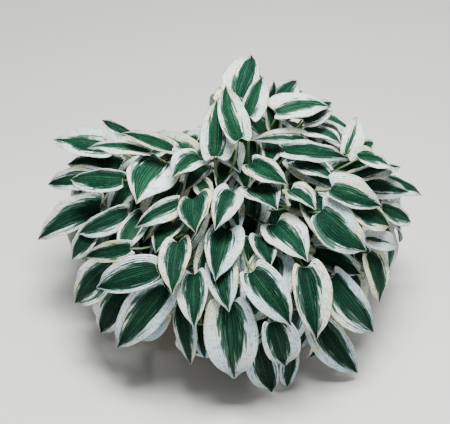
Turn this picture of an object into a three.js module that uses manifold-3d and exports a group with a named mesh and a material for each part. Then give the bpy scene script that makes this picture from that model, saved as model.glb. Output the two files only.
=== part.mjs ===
// A potted hosta: a mound of pointed, cupped leaves on arching stalks, in a plain round clay pot.
// Millimetres, +Z up. The origin is the middle of the pot's flat underside.
import * as THREE from "three";
import { mergeVertices } from "three/addons/utils/BufferGeometryUtils.js";
import Module from "manifold-3d";

const wasm = await Module();
wasm.setup();

// ---------------------------------------------------------------- driving dimensions
const GAP = 0.3; // between pieces that touch

const POT_HEIGHT = 230;
const POT_RIM_RADIUS = 165;
const POT_BASE_RADIUS = 118;
const POT_WALL = 9;
const POT_FLOOR = 12;
const POT_COLLAR_HEIGHT = 42;
const POT_COLLAR_STEP = 6; // how far the collar stands out from the wall below it
const POT_EDGE = 3; // chamfer of the rim and foot
const POT_SIDES = 40;
const DRAIN_HOLES = 4;
const DRAIN_RADIUS = 7;
const DRAIN_CIRCLE = 62; // radius of the circle that the holes stand on
const DRAIN_SIDES = 12;

const SOIL_TOP = 203;
const SOIL_CROWN_RISE = 6; // the soil is heaped a little towards the crown
const SOIL_HEAP_RADIUS = 86; // of the level top of that heap

const CROWN_RADIUS = 74;
const CROWN_TOP = 240;
const CROWN_WAIST = 212; // height of its widest part
const CROWN_BOTTOM = 176;
const CROWN_SIDES = 22;
const CROWN_LEVELS = 8;
const ROOTS = 8;
const ROOT_RADIUS = 4.5;
const ROOT_DEPTH = 105;
const ROOT_REACH = 98;
const ROOT_SHORT = 0.72; // every other root is this much less deep, the others reach this much less far
const ROOT_FIRST = 0.3; // where the first root stands, in steps from one root to the next
const ROOT_SIDES = 5;
const ROOT_STEPS = 4;

const BLADE_WIDTH = 0.62; // of the blade's length
const BLADE_THICKNESS = 1.5;
const BLADE_LOBE = 0.15; // how far the rounded lobes reach back past the stalk, of the length
const BLADE_ARCH = 0.07; // height of the midrib's arch, of the length
const BLADE_FOLD = 16; // degrees that each half rises from the midrib
const BLADE_TIP_HALF_WIDTH = 1.2;
const BLADE_GRID = [5, 4]; // facets along and across
const STALK_RADIUS = 3;
const STALK_SIDES = 5;
const STALK_STEPS = 5;
const STALK_JOIN = 0.05; // where the stalk meets the midrib, of the blade's length
const STALK_LIFT = 0.45; // how steeply a stalk sets out, of the span from crown to blade
const STALK_LEAN = 0.12; // how far it leans outwards as it sets out, of that span
const STALK_ARRIVAL = 0.33; // how early it turns into the blade, of that span
const FOOT_OUTER = 0.86; // where a level stalk leaves the crown, of the crown's radius
const FOOT_NARROWING = 0.8; // how much nearer to the middle an upright one stands, likewise
const FOOT_DEPTH = 8; // how far below the crown's surface a stalk starts
const FOOT_TURN = 0.012; // radians that its foot turns about the crown for each mm of sway

// The mound's outer surface: |r/a|^n + |z/b|^n = 1 about its widest level
const MOUND_RADIUS = 452;
const MOUND_HALF_HEIGHT = 452;
const MOUND_LEVEL = 232;
const MOUND_POWER = 1.62;
const TIP_INSET = 6; // tips lie this far inside the mound's surface
const BASE_INSET = 42; // blade bases lie deeper, so the leaves shingle

// The view that the leaves' places were read in: 450 x 424 pixels
const VIEW_CENTRE = [225, 212];
const VIEW_FOCAL = 1043; // pixels
const VIEW_DISTANCE = 2450;
const VIEW_ELEVATION = 35; // degrees
const VIEW_AIM = new THREE.Vector3(-26, 0, 262);

// Leaves on the near side, from the lowest layer to the top one:
// [blade base x, y, tip x, y in pixels, blade length in mm, roll about the midrib in degrees]
const NEAR_LEAVES = [
  [238, 96, 252, 53, 140, 0],
  [249, 116, 263, 76, 125, 0],
  [214, 156, 216, 98, 150, 0],
  [276, 112, 332, 106, 140, -15],
  [240, 138, 226, 84, 150, 0],
  [258, 345, 272, 393, 150, 0],
  [318, 322, 358, 373, 160, 0],
  [228, 303, 234, 380, 175, 0],
  [273, 322, 285, 366, 150, 0],
  [126, 292, 100, 334, 140, 0],
  [166, 289, 117, 348, 175, 0],
  [334, 276, 375, 333, 160, 0],
  [194, 275, 194, 328, 150, 0],
  [305, 268, 317, 340, 165, 0],
  [253, 272, 291, 326, 165, 0],
  [220, 258, 229, 312, 150, 0],
  [112, 262, 73, 304, 150, 0],
  [130, 248, 84, 257, 140, 0],
  [156, 270, 96, 288, 155, 0],
  [178, 243, 172, 293, 140, 0],
  [227, 230, 215, 281, 170, 0],
  [144, 215, 118, 256, 135, 0],
  [322, 210, 367, 251, 170, 0],
  [352, 206, 391, 226, 130, 0],
  [276, 224, 308, 261, 168, 0],
  [100, 209, 36, 239, 165, 0],
  [375, 178, 424, 194, 140, 0],
  [352, 180, 409, 192, 145, 0],
  [332, 188, 382, 206, 145, 0],
  [100, 181, 46, 183, 145, 0],
  [178, 203, 135, 227, 140, 0],
  [232, 192, 215, 229, 125, 0],
  [193, 199, 195, 232, 130, 0],
  [150, 152, 87, 147, 150, 24],
  [112, 147, 53, 139, 145, 12],
  [352, 177, 401, 166, 130, -30],
  [358, 157, 392, 167, 120, -20],
  [163, 162, 136, 203, 165, 0],
  [200, 158, 172, 177, 115, 0],
  [252, 163, 288, 185, 118, 0],
  [256, 188, 277, 208, 145, 0],
  [346, 154, 357, 116, 120, 0],
  [285, 151, 350, 158, 155, 0],
  [302, 131, 343, 143, 125, 0],
];

// Rings of leaves on the far side, all lengths in mm: [how many, height and radius of the blade's
// middle, compass angle of the first leaf and step to the next in degrees, blade length]
const FAR_RINGS = [
  [5, 150, 400, 14, 38, 160],
  [4, 262, 335, 33, 38, 155],
  [3, 375, 265, 55, 35, 145],
  [1, 500, 140, 95, 0, 130],
];
const FAR_LEAN = 0.3; // how much higher the far leaves are on the right than in the middle
const FAR_TIP_INSET = 14; // how far inside the mound's surface their tips lie

const CLAY = { color: 0xa9603c, roughness: 0.85, metalness: 0 };
const EARTH = { color: 0x3a2a1e, roughness: 1, metalness: 0 };
const ROOTSTOCK = { color: 0x8f8257, roughness: 0.8, metalness: 0 };
const LEAF = { color: 0x3f6a4a, roughness: 0.5, metalness: 0 };

const rad = THREE.MathUtils.degToRad;
const UP = new THREE.Vector3(0, 0, 1);

// ---------------------------------------------------------------- solids
function solidOf(geometry) {
  const bare = geometry.clone();
  bare.deleteAttribute("normal");
  bare.deleteAttribute("uv");
  const merged = mergeVertices(bare, 1e-4);
  return new wasm.Manifold(new wasm.Mesh({
    numProp: 3,
    vertProperties: new Float32Array(merged.attributes.position.array),
    triVerts: new Uint32Array(merged.index.array),
  }));
}

function geometryOf(solid) {
  const mesh = solid.getMesh();
  const geometry = new THREE.BufferGeometry();
  geometry.setAttribute("position", new THREE.BufferAttribute(mesh.vertProperties, 3));
  geometry.setIndex(new THREE.BufferAttribute(mesh.triVerts, 1));
  geometry.computeVertexNormals();
  return geometry;
}

// A lathe about Z from [radius, height] pairs that run up the outside and back down the axis
function turned(profile, sides) {
  const points = profile.map(([r, z]) => new THREE.Vector2(r, z));
  return new THREE.LatheGeometry(points, sides).rotateX(Math.PI / 2);
}

// A round tube along a cubic curve
function tube(points, radius, sides, steps) {
  const section = new THREE.Shape();
  for (let i = 0; i < sides; i++) {
    const a = (2 * Math.PI * i) / sides;
    if (i === 0) section.moveTo(radius, 0);
    else section.lineTo(radius * Math.cos(a), radius * Math.sin(a));
  }
  section.closePath();
  const extrudePath = new THREE.CubicBezierCurve3(...points);
  return new THREE.ExtrudeGeometry(section, { steps, extrudePath, bevelEnabled: false });
}

// ---------------------------------------------------------------- pot, soil and crown
function potWallRadius(z) {
  const slope = (POT_RIM_RADIUS - POT_COLLAR_STEP - POT_BASE_RADIUS) / POT_HEIGHT;
  return POT_BASE_RADIUS + slope * z;
}

function makePot() {
  const collarFoot = POT_HEIGHT - POT_COLLAR_HEIGHT;
  const outer = [
    [0, 0],
    [POT_BASE_RADIUS - POT_EDGE, 0],
    [POT_BASE_RADIUS, POT_EDGE],
    [potWallRadius(collarFoot), collarFoot],
    [potWallRadius(collarFoot) + POT_COLLAR_STEP, collarFoot + POT_EDGE],
    [POT_RIM_RADIUS, POT_HEIGHT - POT_EDGE],
    [POT_RIM_RADIUS - POT_EDGE, POT_HEIGHT],
  ];
  const inner = [
    [potWallRadius(POT_HEIGHT) - POT_WALL + POT_EDGE, POT_HEIGHT],
    [potWallRadius(POT_HEIGHT - POT_EDGE) - POT_WALL, POT_HEIGHT - POT_EDGE],
    [potWallRadius(POT_FLOOR) - POT_WALL, POT_FLOOR],
    [0, POT_FLOOR],
  ];
  let pot = solidOf(turned([...outer, ...inner], POT_SIDES));
  for (let i = 0; i < DRAIN_HOLES; i++) {
    const a = (2 * Math.PI * (i + 0.5)) / DRAIN_HOLES;
    const hole = new THREE.CylinderGeometry(DRAIN_RADIUS, DRAIN_RADIUS, 3 * POT_FLOOR, DRAIN_SIDES);
    hole.rotateX(Math.PI / 2).translate(DRAIN_CIRCLE * Math.cos(a), DRAIN_CIRCLE * Math.sin(a), 0);
    pot = pot.subtract(solidOf(hole));
  }
  return pot;
}

function crownTopAt(r) {
  return CROWN_WAIST + (CROWN_TOP - CROWN_WAIST) * Math.sqrt(1 - (r / CROWN_RADIUS) ** 2);
}

// The crown's swollen dome and the roots that leave its underside, all grown by `extra`
function makeCrown(extra) {
  const profile = [];
  for (let i = 0; i <= CROWN_LEVELS; i++) {
    const a = -Math.PI / 2 + (Math.PI * i) / CROWN_LEVELS;
    const half = a > 0 ? CROWN_TOP - CROWN_WAIST : CROWN_WAIST - CROWN_BOTTOM;
    const r = i % CROWN_LEVELS === 0 ? 0 : (CROWN_RADIUS + extra) * Math.cos(a);
    profile.push([r, CROWN_WAIST + (half + extra) * Math.sin(a)]);
  }
  let crown = solidOf(turned(profile, CROWN_SIDES));
  for (let i = 0; i < ROOTS; i++) {
    const a = (2 * Math.PI * (i + ROOT_FIRST)) / ROOTS;
    const out = new THREE.Vector3(Math.cos(a), Math.sin(a), 0);
    const depth = ROOT_DEPTH * (i % 2 ? 1 : ROOT_SHORT) + extra;
    const reach = ROOT_REACH * (i % 2 ? ROOT_SHORT : 1);
    const at = (r, z) => out.clone().multiplyScalar(r).addScaledVector(UP, z);
    const route = [
      at(0.45 * CROWN_RADIUS, CROWN_BOTTOM + 14),
      at(0.8 * reach, CROWN_BOTTOM + 4),
      at(reach, CROWN_BOTTOM - 0.5 * depth),
      at(0.9 * reach, CROWN_BOTTOM - depth),
    ];
    crown = crown.add(solidOf(tube(route, ROOT_RADIUS + extra, ROOT_SIDES, ROOT_STEPS)));
  }
  return crown;
}

function makeSoil() {
  const wall = (z) => potWallRadius(z) - POT_WALL - GAP;
  const floor = POT_FLOOR + GAP;
  const heap = turned([
    [0, floor],
    [wall(floor), floor],
    [wall(SOIL_TOP), SOIL_TOP],
    [SOIL_HEAP_RADIUS, SOIL_TOP + SOIL_CROWN_RISE],
    [0, SOIL_TOP + SOIL_CROWN_RISE],
  ], POT_SIDES);
  return solidOf(heap).subtract(makeCrown(GAP));
}

// ---------------------------------------------------------------- the mound and the view
const moundCentre = new THREE.Vector3(0, 0, MOUND_LEVEL);

// 1 on the mound's surface, less inside
function moundScale(point) {
  const r = Math.hypot(point.x, point.y) / MOUND_RADIUS;
  const z = Math.abs(point.z - MOUND_LEVEL) / MOUND_HALF_HEIGHT;
  return (r ** MOUND_POWER + z ** MOUND_POWER) ** (1 / MOUND_POWER);
}

function moundInset(point) {
  const scale = moundScale(point);
  return point.distanceTo(moundCentre) * (1 / scale - 1);
}

function moundNormal(point) {
  const r = Math.max(1, Math.hypot(point.x, point.y));
  const sideways = (r / MOUND_RADIUS) ** (MOUND_POWER - 1) / MOUND_RADIUS;
  const height = (point.z - MOUND_LEVEL) / MOUND_HALF_HEIGHT;
  const upward = Math.sign(height) * Math.abs(height) ** (MOUND_POWER - 1) / MOUND_HALF_HEIGHT;
  return new THREE.Vector3((sideways * point.x) / r, (sideways * point.y) / r, upward).normalize();
}

const viewForward = new THREE.Vector3(0, Math.cos(rad(VIEW_ELEVATION)), -Math.sin(rad(VIEW_ELEVATION)));
const viewUp = new THREE.Vector3(0, Math.sin(rad(VIEW_ELEVATION)), Math.cos(rad(VIEW_ELEVATION)));
const viewRight = new THREE.Vector3(1, 0, 0);
const viewEye = VIEW_AIM.clone().addScaledVector(viewForward, -VIEW_DISTANCE);

function rayThrough(px, py) {
  return viewForward.clone().multiplyScalar(VIEW_FOCAL)
    .addScaledVector(viewRight, px - VIEW_CENTRE[0])
    .addScaledVector(viewUp, VIEW_CENTRE[1] - py)
    .normalize();
}

function along(ray, distance) {
  return viewEye.clone().addScaledVector(ray, distance);
}

const RAY_STEP = 4;
const RAY_REACH = 700; // how far the mound reaches in front of and behind the point aimed at

// Where the ray first meets the mound, or passes nearest to it
function tipPoint(px, py) {
  const ray = rayThrough(px, py);
  let best = 0;
  let least = Infinity;
  for (let d = VIEW_DISTANCE - RAY_REACH; d < VIEW_DISTANCE + RAY_REACH; d += RAY_STEP) {
    const inset = moundInset(along(ray, d));
    if (inset >= TIP_INSET) return along(ray, d);
    if (-inset < least) {
      least = -inset;
      best = d;
    }
  }
  return along(ray, best);
}

// The base lies on its ray where the blade has its length and sits below the mound's surface
function basePoint(px, py, tip, length) {
  const ray = rayThrough(px, py);
  const middle = tip.clone().sub(viewEye).dot(ray);
  let best = null;
  let least = Infinity;
  for (let d = middle - length; d < middle + length; d += RAY_STEP) {
    const point = along(ray, d);
    const longer = point.distanceTo(tip) - length;
    const deeper = moundInset(point) - BASE_INSET;
    const misfit = longer ** 2 + 0.5 * deeper ** 2;
    if (misfit < least) {
      least = misfit;
      best = point;
    }
  }
  return best;
}

// ---------------------------------------------------------------- one leaf's shape
function bladeHalfWidth(u) {
  const rounding = 0.03;
  const widest = 0.427; // the largest value of the curve below
  return (Math.sqrt(u + rounding) * (1 - u) ** 0.85) / widest;
}

// A leaf's own frame: base, chord, facing and side, from its base, tip and roll
function leafFrame(base, tip, roll) {
  const chord = tip.clone().sub(base);
  const length = chord.length();
  chord.normalize();
  const middle = base.clone().lerp(tip, 0.5);
  const facing = moundNormal(middle);
  facing.addScaledVector(chord, -facing.dot(chord)).normalize().applyAxisAngle(chord, rad(roll));
  const side = new THREE.Vector3().crossVectors(facing, chord);
  return { base, tip, chord, facing, side, length };
}

// A point of the blade: u runs from the stalk to the tip, v from edge to edge
function bladePoint(leaf, u, v) {
  const fold = rad(BLADE_FOLD);
  const half = Math.max(BLADE_TIP_HALF_WIDTH, 0.5 * BLADE_WIDTH * leaf.length * bladeHalfWidth(u));
  const forward = leaf.length * (u - BLADE_LOBE * v * v * (1 - u) ** 4);
  const rise = leaf.length * BLADE_ARCH * 4 * u * (1 - u) + half * Math.abs(v) * Math.sin(fold);
  return leaf.base.clone()
    .addScaledVector(leaf.chord, forward)
    .addScaledVector(leaf.side, half * v * Math.cos(fold))
    .addScaledVector(leaf.facing, rise);
}

function makeBlade(leaf) {
  const box = new THREE.BoxGeometry(1, 1, 1, ...BLADE_GRID, 1);
  const place = box.attributes.position;
  for (let i = 0; i < place.count; i++) {
    const u = place.getX(i) + 0.5;
    const v = 2 * place.getY(i);
    const point = bladePoint(leaf, u, v).addScaledVector(leaf.facing, BLADE_THICKNESS * place.getZ(i));
    place.setXYZ(i, point.x, point.y, point.z);
  }
  return solidOf(box);
}

// ---------------------------------------------------------------- placing the leaves
// Cells of the view that a blade covers, each with the depth there
function coverOf(leaf) {
  const cell = 3; // pixels
  const cover = [];
  for (let u = 0; u <= 1; u += 0.04) {
    for (let v = -1; v <= 1; v += 0.125) {
      const offset = bladePoint(leaf, u, v).sub(viewEye);
      const depth = offset.dot(viewForward);
      const px = Math.floor((VIEW_FOCAL * offset.dot(viewRight)) / depth / cell);
      const py = Math.floor((VIEW_FOCAL * offset.dot(viewUp)) / depth / cell);
      cover.push([`${px} ${py}`, depth]);
    }
  }
  return cover;
}

// Moves a leaf away from the viewer
function slideLeaf(leaf, distance) {
  const sight = leaf.base.clone().lerp(leaf.tip, 0.5).sub(viewEye).normalize();
  leaf.base.addScaledVector(sight, distance);
  leaf.tip.addScaledVector(sight, distance);
}

// Trial slides along the line of sight, in mm: twice as far forward as back, nearest first
const SLIDES = [0];
for (let back = 5; back <= 60; back += 5) SLIDES.push(-2 * back + 5, -2 * back, back);
const LAYER_CLEARANCE = 8; // between the samples of two blades, along the line of sight

// How many samples of a blade come too near to one placed before, once it has slid by `slide`
function clashesOf(cover, slide, placed) {
  const isNear = (depth) => (other) => Math.abs(depth + slide - other) < LAYER_CLEARANCE;
  let clashes = 0;
  for (const [key, depth] of cover) clashes += (placed.get(key) ?? []).filter(isNear(depth)).length;
  return clashes;
}

// Each leaf is slid by as little as clears the blades placed before it
function placeNearLeaves() {
  const placed = new Map();
  return NEAR_LEAVES.map(([baseX, baseY, tipX, tipY, length, roll]) => {
    const tip = tipPoint(tipX, tipY);
    const leaf = leafFrame(basePoint(baseX, baseY, tip, length), tip, roll);
    const cover = coverOf(leaf);
    let slide = 0;
    let fewest = Infinity;
    for (const trial of SLIDES) {
      if (fewest === 0) break;
      const clashes = clashesOf(cover, trial, placed);
      if (clashes < fewest) {
        fewest = clashes;
        slide = trial;
      }
    }
    for (const [key, depth] of cover) {
      if (!placed.has(key)) placed.set(key, []);
      placed.get(key).push(depth + slide);
    }
    slideLeaf(leaf, slide);
    return leaf;
  });
}

function placeFarLeaves() {
  const leaves = [];
  for (const [count, height, radius, first, step, length] of FAR_RINGS) {
    for (let i = 0; i < count; i++) {
      const a = rad(first + i * step);
      const out = new THREE.Vector3(Math.cos(a), Math.sin(a), 0);
      const middle = out.clone().multiplyScalar(radius)
        .setZ(height * (1 + FAR_LEAN * Math.cos(a)));
      const normal = moundNormal(middle);
      const down = UP.clone().negate().addScaledVector(normal, normal.z).normalize();
      const tip = middle.clone().addScaledVector(down, 0.5 * length);
      const base = middle.clone().addScaledVector(down, -0.5 * length);
      tip.addScaledVector(normal, -FAR_TIP_INSET);
      base.addScaledVector(normal, -BASE_INSET);
      leaves.push(leafFrame(base, tip, 0));
    }
  }
  return leaves;
}

// The stalk leaves the crown at a radius that grows as its blade hangs lower
function stalkRoute(leaf, sway, rise) {
  const flat = new THREE.Vector3(leaf.base.x, leaf.base.y, 0);
  const reach = Math.max(1, flat.length());
  const out = flat.clone().divideScalar(reach);
  const across = new THREE.Vector3(-out.y, out.x, 0);
  const steep = Math.max(0, Math.atan2(leaf.base.z - SOIL_TOP, reach) / (Math.PI / 2));
  const footRadius = CROWN_RADIUS * (FOOT_OUTER - FOOT_NARROWING * steep);
  const start = out.clone().multiplyScalar(footRadius)
    .applyAxisAngle(UP, sway * FOOT_TURN)
    .setZ(crownTopAt(footRadius) - FOOT_DEPTH);
  const span = start.distanceTo(leaf.base);
  const first = start.clone()
    .addScaledVector(UP, STALK_LIFT * span + rise)
    .addScaledVector(out, STALK_LEAN * span)
    .addScaledVector(across, sway);
  const arrive = leaf.chord.clone().multiplyScalar(0.4)
    .addScaledVector(out, 1 - steep)
    .addScaledVector(UP, 0.3 + steep)
    .normalize();
  const second = leaf.base.clone()
    .addScaledVector(arrive, -STALK_ARRIVAL * span)
    .addScaledVector(across, 0.5 * sway);
  const end = bladePoint(leaf, STALK_JOIN, 0);
  return [start, first, second, end];
}

// Sideways and upward bends to try on a stalk, in mm
const BENDS = [];
for (const rise of [0, 20, -20, 40, -40, 60]) {
  for (const sway of [0, 12, -12, 24, -24, 36, -36, 50, -50, 65, -65]) BENDS.push([sway, rise]);
}
const STALK_SAMPLES = 45;
const STALK_CLEARANCE = 8.5; // between the middles of two stalks
const BLADE_CLEARANCE = 13; // from a stalk's middle to the nearest sample of another blade

// Points over a blade, for keeping stalks clear of it
function bladeSamples(leaf) {
  const points = [];
  for (let u = 0; u <= 1; u += 0.1) {
    for (let v = -1; v <= 1; v += 0.25) points.push(bladePoint(leaf, u, v));
  }
  return points;
}

function nearestDistance(points, others) {
  let least = Infinity;
  for (const p of points) {
    for (const q of others) least = Math.min(least, p.distanceToSquared(q));
  }
  return Math.sqrt(least);
}

// Each stalk takes the straightest route that stays clear of every blade and every earlier stalk
function routeStalks(leaves) {
  const blades = leaves.map(bladeSamples);
  const stalks = [];
  for (const [i, leaf] of leaves.entries()) {
    const otherBlades = blades.filter((_, k) => k !== i).flat();
    const earlierStalks = stalks.flat();
    let best = { room: -1 };
    for (const [sway, rise] of BENDS) {
      if (best.room === 1) break;
      const route = stalkRoute(leaf, sway, rise);
      const points = new THREE.CubicBezierCurve3(...route).getPoints(STALK_SAMPLES);
      const room = Math.min(
        nearestDistance(points, otherBlades) / BLADE_CLEARANCE,
        nearestDistance(points, earlierStalks) / STALK_CLEARANCE,
        1,
      );
      if (room > best.room) best = { room, route, points };
    }
    leaf.route = best.route;
    stalks.push(best.points);
  }
}

function makeLeaf(leaf, crown) {
  const stalk = solidOf(tube(leaf.route, STALK_RADIUS, STALK_SIDES, STALK_STEPS));
  return makeBlade(leaf).add(stalk).subtract(crown);
}

// ---------------------------------------------------------------- assembly
const plant = new THREE.Group();

function addPiece(name, solid, finish) {
  const mesh = new THREE.Mesh(geometryOf(solid), new THREE.MeshStandardMaterial(finish));
  mesh.name = name;
  plant.add(mesh);
}

addPiece("pot", makePot(), CLAY);
addPiece("soil", makeSoil(), EARTH);
addPiece("crown", makeCrown(0), ROOTSTOCK);

const leaves = [...placeNearLeaves(), ...placeFarLeaves()];
routeStalks(leaves);
const crownWithGap = makeCrown(GAP);
leaves.forEach((leaf, i) => {
  const number = String(i + 1).padStart(2, "0");
  addPiece(`leaf_${number}`, makeLeaf(leaf, crownWithGap), LEAF);
});

export default plant;
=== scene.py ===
"""A potted hosta: a mound of pointed, cream-edged leaves on arching stalks, in a plain round clay pot."""

import math
import random
from collections import namedtuple

import bmesh
import bpy
import numpy as np
from mathutils import Matrix, Vector, noise


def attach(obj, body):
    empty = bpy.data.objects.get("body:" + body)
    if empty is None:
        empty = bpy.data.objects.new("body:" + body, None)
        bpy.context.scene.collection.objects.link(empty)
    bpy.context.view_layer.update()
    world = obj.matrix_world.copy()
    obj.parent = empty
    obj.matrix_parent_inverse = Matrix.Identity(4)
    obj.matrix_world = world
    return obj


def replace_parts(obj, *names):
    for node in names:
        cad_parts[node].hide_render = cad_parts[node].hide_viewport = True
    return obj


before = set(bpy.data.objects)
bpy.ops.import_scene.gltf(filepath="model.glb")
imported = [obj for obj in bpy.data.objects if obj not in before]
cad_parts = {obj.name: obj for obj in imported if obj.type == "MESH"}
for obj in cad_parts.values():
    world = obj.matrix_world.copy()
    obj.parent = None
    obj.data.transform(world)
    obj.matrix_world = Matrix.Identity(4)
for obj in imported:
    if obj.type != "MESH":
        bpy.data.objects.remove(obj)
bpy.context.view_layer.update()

MM = 0.001  # the plant is laid out in millimetres, and Blender works in metres
WELD = 0.01 * MM  # vertices nearer than this are made one

# ------------------------------------------------------------------ pot, soil and crown, mm
POT_HEIGHT = 230
POT_RIM_RADIUS = 165
POT_BASE_RADIUS = 118
POT_WALL = 9
POT_FLOOR = 12
POT_COLLAR_HEIGHT = 42
POT_COLLAR_STEP = 6
POT_EDGE = 3
POT_SIDES = 96
EDGE_STEPS = 3
SHARP_EDGE, SMOOTH_EDGE = 20, 40  # degrees above which an edge is rounded, and is shaded sharp
DRAIN_HOLES = 4
DRAIN_RADIUS = 7
DRAIN_CIRCLE = 62
DRAIN_SIDES = 32

SOIL_TOP = 203
SOIL_CROWN_RISE = 6
SOIL_HEAP_RADIUS = 86
SOIL_LUMPS = 3.2  # the greatest height of a lump, from coarse and fine noise in these shares and sizes
COARSE_LUMPS, FINE_LUMPS = (0.6, 16), (0.4, 5)
SOIL_RINGS, HEAP_RINGS, SOIL_SIDES = 14, 16, 120
SOIL_REST = 1  # how near the wall, and how far below its top, the soil has no lumps

BARK_CHIPS, BARK_SEED = 170, 7
CHIP_SIZES = ((4, 11), (2, 5), (1, 2))  # half lengths, half widths and half heights
CHIP_EDGES = (0.75, 1.1)  # how unevenly its corners stand out
CHIP_TILT = 0.3  # radians
CHIP_HEIGHT = 1.2  # of its middle above the soil
CHIP_TO_CROWN, CHIP_TO_WALL = 4, 9  # from its middle

CROWN_RADIUS = 74
CROWN_TOP = 240
CROWN_WAIST = 212
GAP = 0.3  # between the soil and the pot

# ------------------------------------------------------------------ a leaf, mm and degrees
BLADE_WIDTH = 0.62
BLADE_LOBE = 0.15
LOBE_FADE = 4
PLAIN_START, PLAIN_TAPER, PLAIN_PEAK = 0.03, 0.85, 0.427  # the plain outline and its greatest value
BLADE_ARCH = 0.07
BLADE_FOLD = 16
BLADE_TIP_HALF_WIDTH = 1.2
BLADE_THICKNESS = 0.8
VEIN_PAIRS = 9
VEIN_DEPTH = 0.8
STALK_JOIN = 0.05
STALK_LIFT = 0.45
STALK_LEAN = 0.12
STALK_ARRIVAL = 0.33
ARRIVE_FORWARD, ARRIVE_UP, ARRIVE_SWAY = 0.4, 0.3, 0.5  # the stalk's direction at the blade
MIDRIB_ROWS = 6
MIDRIB_END = 0.62  # where the raised midrib under a blade fades out, of its length
MIDRIB_TAPER = 0.8
STALK_RADIUS = 2.7
STALK_GROOVE = 0.45  # height of its flattened upper side, of its radius
STALK_SINK = 0.75  # where a stalk starts to dip under the blade, of its length
FOOT_RADIUS = 6.0  # of the sheath that a stalk widens into at the crown
FOOT_SPAN = 0.3  # how far up the stalk that sheath goes, of its length
FOOT_UPWARD = 0.6  # how much the sheath's groove faces up and not to the middle
FOOT_OUTER = 0.86
FOOT_NARROWING = 0.8
FOOT_DEPTH = 8
FOOT_TURN = 0.012

# How finely a leaf is meshed: the numbered ones have their ribs in the mesh, the added ones don't
Detail = namedtuple("Detail", "blade_rows blade_columns stalk_rows stalk_sides ribs")
FULL_DETAIL = Detail(28, 4 * VEIN_PAIRS, 13, 8, VEIN_DEPTH)
INNER_DETAIL = Detail(14, 16, 9, 6, 0.0)

# ------------------------------------------------------------------ the mound, mm
MOUND_RADIUS = 452
MOUND_HALF_HEIGHT = 452
MOUND_LEVEL = 232
MOUND_POWER = 1.62
TIP_INSET = 6
BASE_INSET = 42
DEPTH_WEIGHT = 0.5  # of a base's depth against its blade's length

# ------------------------------------------------------------------ the photograph's view
PHOTO_WIDTH = 450  # pixels
VIEW_CENTRE = (225, 212)
VIEW_FOCAL = 1043  # pixels
VIEW_DISTANCE = 2450  # mm
VIEW_ELEVATION = 35  # degrees above level
VIEW_AIM = np.array([-26.0, 0.0, 262.0])
SENSOR_WIDTH = 36  # mm
RAY_STEP, RAY_REACH = 4, 700  # mm, how finely and how far a ray is searched

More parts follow.
